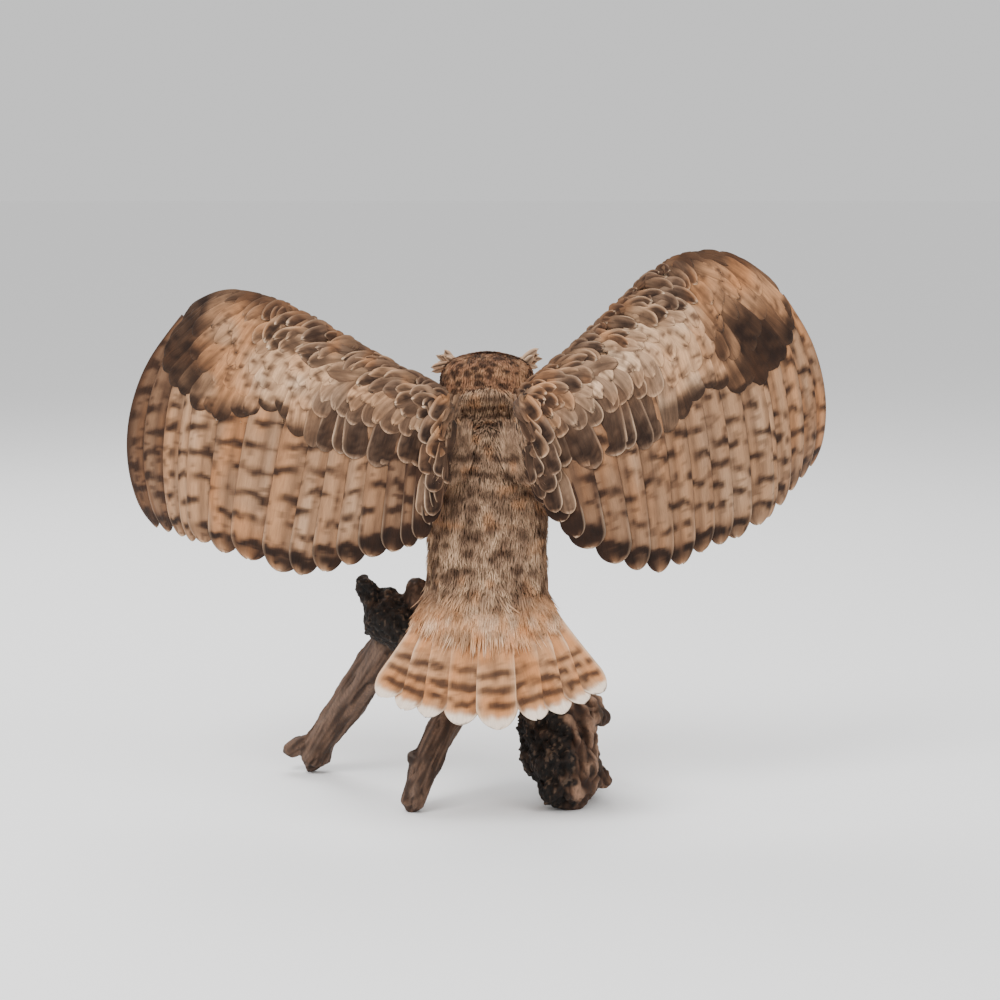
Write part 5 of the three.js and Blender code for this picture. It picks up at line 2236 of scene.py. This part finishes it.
def loft(shape: BMesh, spine: tuple, wide: tuple, deep: tuple, rows: int = 70, sides: int = 40,
         cere: bool = False) -> None:
    """Draws a horny section along a spine.

    Args:
        shape: the mesh that it is added to.
        spine: the curve's points.
        wide, deep: the half width and half depth at even stations.
        rows, sides: how many faces along and round it.
        cere: whether the root swells into a cere with nostrils.
    """
    t = np.linspace(0, 1, rows)
    centre = Spline(spine)(t)
    up = unit(np.cross(Spline(spine).along(t), (1, 0, 0)))
    turn = np.linspace(0, 2 * math.pi, sides, endpoint=False)
    rim, last = None, None
    for row in range(rows):
        w = float(stations(wide, t[row : row + 1])[0])
        d = float(stations(deep, t[row : row + 1])[0])
        x = w * np.cos(turn) * (1 - 0.3 * np.clip(np.sin(turn), 0, 1) ** 2)
        y = d * np.sin(turn)
        if cere:
            swell = 0.7 * smooth(0.42, 0.34, t[row])
            hole = np.exp(-((t[row] - 0.3) / 0.045) ** 2) * np.exp(-(((np.sin(turn) - 0.35) / 0.3) ** 2))
            scale = 1 + (swell - 2.2 * hole * np.abs(np.cos(turn))) / np.hypot(w, d)
            x, y = x * scale, y * scale
        ring = centre[row] + np.outer(x, (1, 0, 0)) + np.outer(y, up[row])
        if rim is None:
            last = bmesh.ops.create_circle(shape, cap_ends=True, segments=sides, radius=MM)["verts"]
            rim = list({edge for vertex in last for edge in vertex.link_edges})
        else:
            made = bmesh.ops.extrude_edge_only(shape, edges=rim)["geom"]
            rim = [part for part in made if isinstance(part, bmesh.types.BMEdge)]
            linked = {}
            for part in made:
                if isinstance(part, bmesh.types.BMVert):
                    for edge in part.link_edges:
                        other = edge.other_vert(part)
                        if other in set(last):
                            linked[other] = part
            last = [linked[vertex] for vertex in last]
        for vertex, spot in zip(last, ((ring + SHIFT) * MM).tolist()):
            vertex.co = spot
    bmesh.ops.contextual_create(shape, geom=rim)


@dataclass
class Bill:
    """The hooked bill: a ridged upper half over a shorter lower one, with nostrils in the cere."""

    upper: tuple = ((0, -96, 451), (0, -112, 448.5), (0, -121.5, 441), (0, -126, 429), (0, -122.5, 413))
    upper_wide: tuple = (8.4, 8.2, 7.0, 4.8, 0.7)
    upper_deep: tuple = (6.5, 7.4, 6.4, 4.6, 0.7)
    lower: tuple = ((0, -96, 434), (0, -108, 431), (0, -115, 426), (0, -118, 420.5))
    lower_wide: tuple = (7.6, 7.0, 5.0, 1.4)
    lower_deep: tuple = (4.0, 4.0, 2.8, 0.8)

    def build(self) -> None:
        """Makes the bill."""
        shape = bmesh.new()
        loft(shape, self.upper, self.upper_wide, self.upper_deep, cere=True)
        loft(shape, self.lower, self.lower_wide, self.lower_deep)
        bmesh.ops.recalc_face_normals(shape, faces=shape.faces[:])
        mesh = mesh_of(shape, "beak")
        finish_piece(new_object("beak", mesh, HornFinish("bill horn").make()), ["bill"])


@dataclass
class Claws:
    """The eight curved claws, each from inside its toe down over the wood."""

    wide: tuple = (3.4, 4.1, 3.3, 2.0, 0.35)

    def build(self) -> None:
        """Makes the claws where their solids are."""
        nodes = sorted(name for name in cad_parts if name.startswith("claw_"))
        shape = bmesh.new()
        for name in nodes:
            low, high = (np.array(corner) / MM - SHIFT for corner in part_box(name))
            x = (low[0] + high[0]) / 2
            away, edge = (-1, low[1]) if "front" in name else (1, high[1])
            spine = ((x, edge - away * 15, high[2] + 9), (x, edge - away * 5, high[2] + 8),
                     (x, edge + away * 2.0, high[2] + 1), (x, edge + away * 3.2, (low[2] + high[2]) / 2 - 1),
                     (x, edge - away * 0.5, low[2] - 4))
            loft(shape, spine, self.wide, self.wide, rows=36, sides=22)
        bmesh.ops.recalc_face_normals(shape, faces=shape.faces[:])
        mesh = mesh_of(shape, "talons")
        finish_piece(new_object("talons", mesh, HornFinish("claw horn").make()), nodes)


# ---------------------------------------------------------------- wood


class Grain(Enum):
    """The kinds of surface on the driftwood, with the node words that carry them."""

    CHARRED = ("log", "stub_outer")
    SMOOTH = ("leg", "toe", "stub_inner")
    GNARLED = ("stump", "knob")

    @classmethod
    def of(cls, node: str) -> "Grain":
        """The kind that a CAD node has."""
        return next(kind for kind in cls if any(word in node for word in kind.value))


@dataclass
class Driftwood:
    """The weathered root that the owl stands on."""

    voxel: float = 1.7
    keep_flat: float = 6.0  # height over the floor below which the wood isn't carved
    knots: tuple = ((-121, 22, 30, 15), (-117, -2, 92, 16), (-104, 26, 74, 15), (-96, 44, 30, 17), (109, -30, 222, 9),
                    (79, 46, 57, 9), (-64, -50, 60, 16), (-104, -62, 40, 14),
                    (8, -20, 131, 17))  # the last joins the middle leg to the log
    bleached: int = 5  # the knot with a bleached middle

    def shares(self, p: Array, nodes: list) -> tuple:
        """How much of each grain there is at each place, and which way the wood grew there.

        Args:
            p: the places.
            nodes: the wood's CAD nodes.

        Returns:
            A share from 0 to 1 for each grain, and the directions.
        """
        reach = {kind: np.full(len(p), 1e3) for kind in Grain}
        best = np.full(len(p), 1e3)
        grown = np.zeros_like(p)
        for name in nodes:
            corners, tree = places(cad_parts[name].data), tree_of(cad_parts[name].data)
            away = np.array([tree.find_nearest(q)[3] for q in p.tolist()])
            kind = Grain.of(name)
            reach[kind] = np.minimum(reach[kind], away)
            grown[away < best] = np.linalg.svd(corners - corners.mean(0), full_matrices=False)[2][0]
            best = np.minimum(best, away)
        weight = {kind: np.exp(-reach[kind] / 4) for kind in Grain}
        total = sum(weight.values())
        return {kind: weight[kind] / total for kind in Grain}, grown

    def solid(self, nodes: list) -> Mesh:
        """The wood's solids and knots, as one mesh."""
        shape = bmesh.new()
        shape.from_mesh(joined_nodes(nodes))
        for x, y, z, size in self.knots:
            place = Matrix.Translation(Vector((np.array((x, y, z)) + SHIFT) * MM))
            bmesh.ops.create_icosphere(shape, subdivisions=3, radius=size * MM, matrix=place)
        return remeshed(mesh_of(shape, "wood"), self.voxel)

    def build(self) -> None:
        """Makes the wood."""
        nodes = sorted(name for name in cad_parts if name.startswith("stand_"))
        mesh = self.solid(nodes)
        keep_largest(mesh)
        relax(mesh, 4)
        p, out = places(mesh), normals(mesh)
        share, grown = self.shares(p, nodes)
        lying = p + grown * (np.sum(p * grown, -1, keepdims=True) * (1 / 11 - 1))
        dark = smooth(-98, -78, p[:, 0] - 26 * (noise(p, 22, 1) - 0.5) - 12 * (noise(p, 8, 13) - 0.5))
        charred = np.clip(share[Grain.CHARRED] + share[Grain.GNARLED] * dark * 1.2, 0, 1)
        grains = noise(p, 3.4, 3) - 0.5 + 0.7 * (noise(p, 1.9, 4) - 0.5)
        lumps = (noise(p, 15, 5) - 0.5) * 6 + (noise(p, 7, 6) - 0.5) * 3.6
        fibre = noise(lying, 3.6, 7) - 0.5
        crack = smooth(0.03, 0.0, np.abs(noise(lying, 8, 8) - 0.5)) * patchy(0.45, 0.6, p, 20, 14)
        hollow = patchy(0.6, 0.78, p, (11, 11, 17), 9)
        gnarl = share[Grain.GNARLED]
        ropes = np.abs(noise(p + 9 * noise(p, 24, 16)[:, None], (9, 9, 34), 17) - 0.5) * 2
        carve = lumps * (0.35 + 0.7 * gnarl + 0.3 * charred) + grains * (0.25 + 2.6 * charred + 0.8 * gnarl)
        carve += fibre * 1.5 * (1 - charred) - crack * 1.5 * (1 - charred) - 0.7
        carve += (smooth(0.0, 0.4, ropes) - 0.8) * 4.2 * gnarl * (1 - 0.5 * charred)
        carve -= hollow * 3.0 * (0.7 * gnarl + 0.5 * charred)
        carve *= smooth(1.0, self.keep_flat, p[:, 2])
        move(mesh, p + out * carve[:, None])
        brown = blend(srgb(58, 41, 31), srgb(100, 76, 61), patchy(0.25, 0.75, lying, 3.0, 10))
        brown = blend(brown, srgb(128, 106, 92), patchy(0.5, 0.8, lying, 9, 11) * 0.45)
        worn = smooth(0.15, 0.8, 0.5 * noise(p, (5, 5, 12), 12) + ropes * 0.8)
        tan = blend(srgb(46, 28, 18), srgb(142, 110, 88), worn)
        tint = blend(brown, tan, gnarl)
        black = blend(srgb(9, 6, 4), srgb(36, 25, 18), smooth(0.1, 0.8, grains + 0.5))
        ashes = patchy(0.5, 0.75, p, 13, 18) * (0.25 + 0.6 * patchy(0.4, 0.7, p, 4, 15))
        black = blend(black, srgb(70, 50, 36), ashes)
        black = blend(black, srgb(104, 84, 68), patchy(0.7, 0.8, p, 2.6, 19) * 0.7)
        tint = blend(tint, black, smooth(0.25, 0.75, charred))
        # painted shade in the carved cracks and hollows
        deep = crack * 0.5 * (1 - charred) + hollow * 0.6 * np.maximum(gnarl, charred)
        tint = blend(tint, srgb(14, 9, 6), np.clip(deep, 0, 1))
        knot = np.linalg.norm(p - np.array(self.knots[self.bleached][:3]), axis=1)
        tint = blend(tint, srgb(40, 27, 20), smooth(12, 9, knot) * 0.8)
        tint = blend(tint, srgb(176, 166, 156), patchy(0.5, 0.66, p, 4, 20) * smooth(10, 6, knot) * 0.9)
        paint(mesh, tint)
        mesh.name = "driftwood"
        finish = TintFinish("weathered wood", grain=(420, 420, 160), contrast=0.28)
        finish_piece(new_object("driftwood", mesh, finish.make()), nodes)


# ---------------------------------------------------------------- stage


@dataclass
class Stage:
    """The pale floor, soft lights and the camera."""

    target: tuple = (-14.0, 0.0, 330.0)
    distance: float = 2600.0
    elevation: float = 8.0
    lens: float = 86.7
    sensor: float = 36.0
    sky: float = 0.85  # strength of the even light from all sides
    lights: tuple = (  # names, places and widths in metres, watts
        ("key", (1.2, 1.7, 2.9), 1.4, 95),
        ("fill", (-1.8, 1.3, 2.5), 1.8, 34),
        ("front", (0.7, -1.9, 2.6), 1.8, 60),
    )

    def light(self, name: str, where: tuple, size: float, power: float) -> None:
        """Adds a soft light that shines on the bird.

        Args:
            name: the light's name.
            where: its place, in metres.
            size: the width of its square, in metres.
            power: in watts.
        """
        data = bpy.data.lights.new(name, "AREA")
        data.size = size
        data.energy = power
        lamp = bpy.data.objects.new(name, data)
        lamp.location = where
        lamp.rotation_euler = (Vector((0, 0, 0.3)) - Vector(where)).to_track_quat("-Z", "Y").to_euler()
        bpy.context.scene.collection.objects.link(lamp)

    def build(self) -> None:
        """Makes the stage."""
        shape = bmesh.new()
        bmesh.ops.create_grid(shape, x_segments=1, y_segments=1, size=40.0)
        mesh = mesh_of(shape, "floor")
        n = Nodes("floor")
        n.set("Base Color", (0.95, 0.95, 0.95, 1))
        n.set("Roughness", 0.9)
        new_object("floor", mesh, n.material)
        world = bpy.data.worlds.new("studio")
        world.use_nodes = True
        background = world.node_tree.nodes["Background"]
        background.inputs[0].default_value = (1, 1, 1, 1)
        background.inputs[1].default_value = self.sky
        bpy.context.scene.world = world
        for light in self.lights:
            self.light(*light)
        data = bpy.data.cameras.new("camera")
        data.lens = self.lens
        data.sensor_width = self.sensor
        data.clip_end = 200.0
        camera = bpy.data.objects.new("camera", data)
        rise = math.radians(self.elevation)
        target = Vector((np.array(self.target) + SHIFT) * MM)
        away = Vector((0, math.cos(rise), math.sin(rise)))
        camera.location = target + away * self.distance * MM
        camera.rotation_euler = (-away).to_track_quat("-Z", "Y").to_euler()
        bpy.context.scene.collection.objects.link(camera)
        bpy.context.scene.camera = camera


# ---------------------------------------------------------------- the whole owl


@dataclass
class Owl:
    """The whole mount."""

    flights: tuple = (
        (0.05, 0.105, 0.166, 0.215, 0.269, 0.335, 0.388, 0.442, 0.499, 0.567, 0.668, 0.745, 0.814, 0.852, 0.885,
         0.931, 0.972),
        (0.06, 0.11, 0.164, 0.225, 0.331, 0.416, 0.5, 0.576, 0.645, 0.701, 0.745, 0.806, 0.833, 0.87, 0.908,
         0.945, 0.976),
    )
    edges: tuple = (
        ((0.0, 0.66), (0.10, 0.55), (0.19, 0.50), (0.30, 0.51), (0.39, 0.495), (0.50, 0.465), (0.57, 0.44),
         (0.62, 0.40), (0.66, 0.37), (0.71, 0.415), (0.763, 0.463), (0.84, 0.453), (0.907, 0.367),
         (0.95, 0.258), (0.958, 0.147), (0.96, 0.02)),
        ((0.0, 0.72), (0.10, 0.60), (0.19, 0.55), (0.335, 0.522), (0.43, 0.515), (0.48, 0.53), (0.535, 0.492),
         (0.60, 0.497), (0.677, 0.455), (0.71, 0.435), (0.755, 0.468), (0.81, 0.478), (0.86, 0.475),
         (0.917, 0.38), (0.955, 0.23), (0.968, 0.07), (0.955, 0.01)),
    )

    def build(self) -> None:
        """Makes every piece."""
        skin = Skin()
        skin.dress()
        BodyCoat(skin).build()
        for wing, tips_at, edge in zip(WINGS, self.flights, self.edges):
            WingCoat(wing, tips_at, edge).build()
        Tail().build()
        HeadFeathers(skin).build()
        for side in Side:
            Eye(side).build()
        Bill().build()
        Claws().build()
        Driftwood().build()


def main() -> None:
    """Builds the owl and its stage."""
    Stage().build()
    Owl().build()


if __name__ == "__main__":
    main()
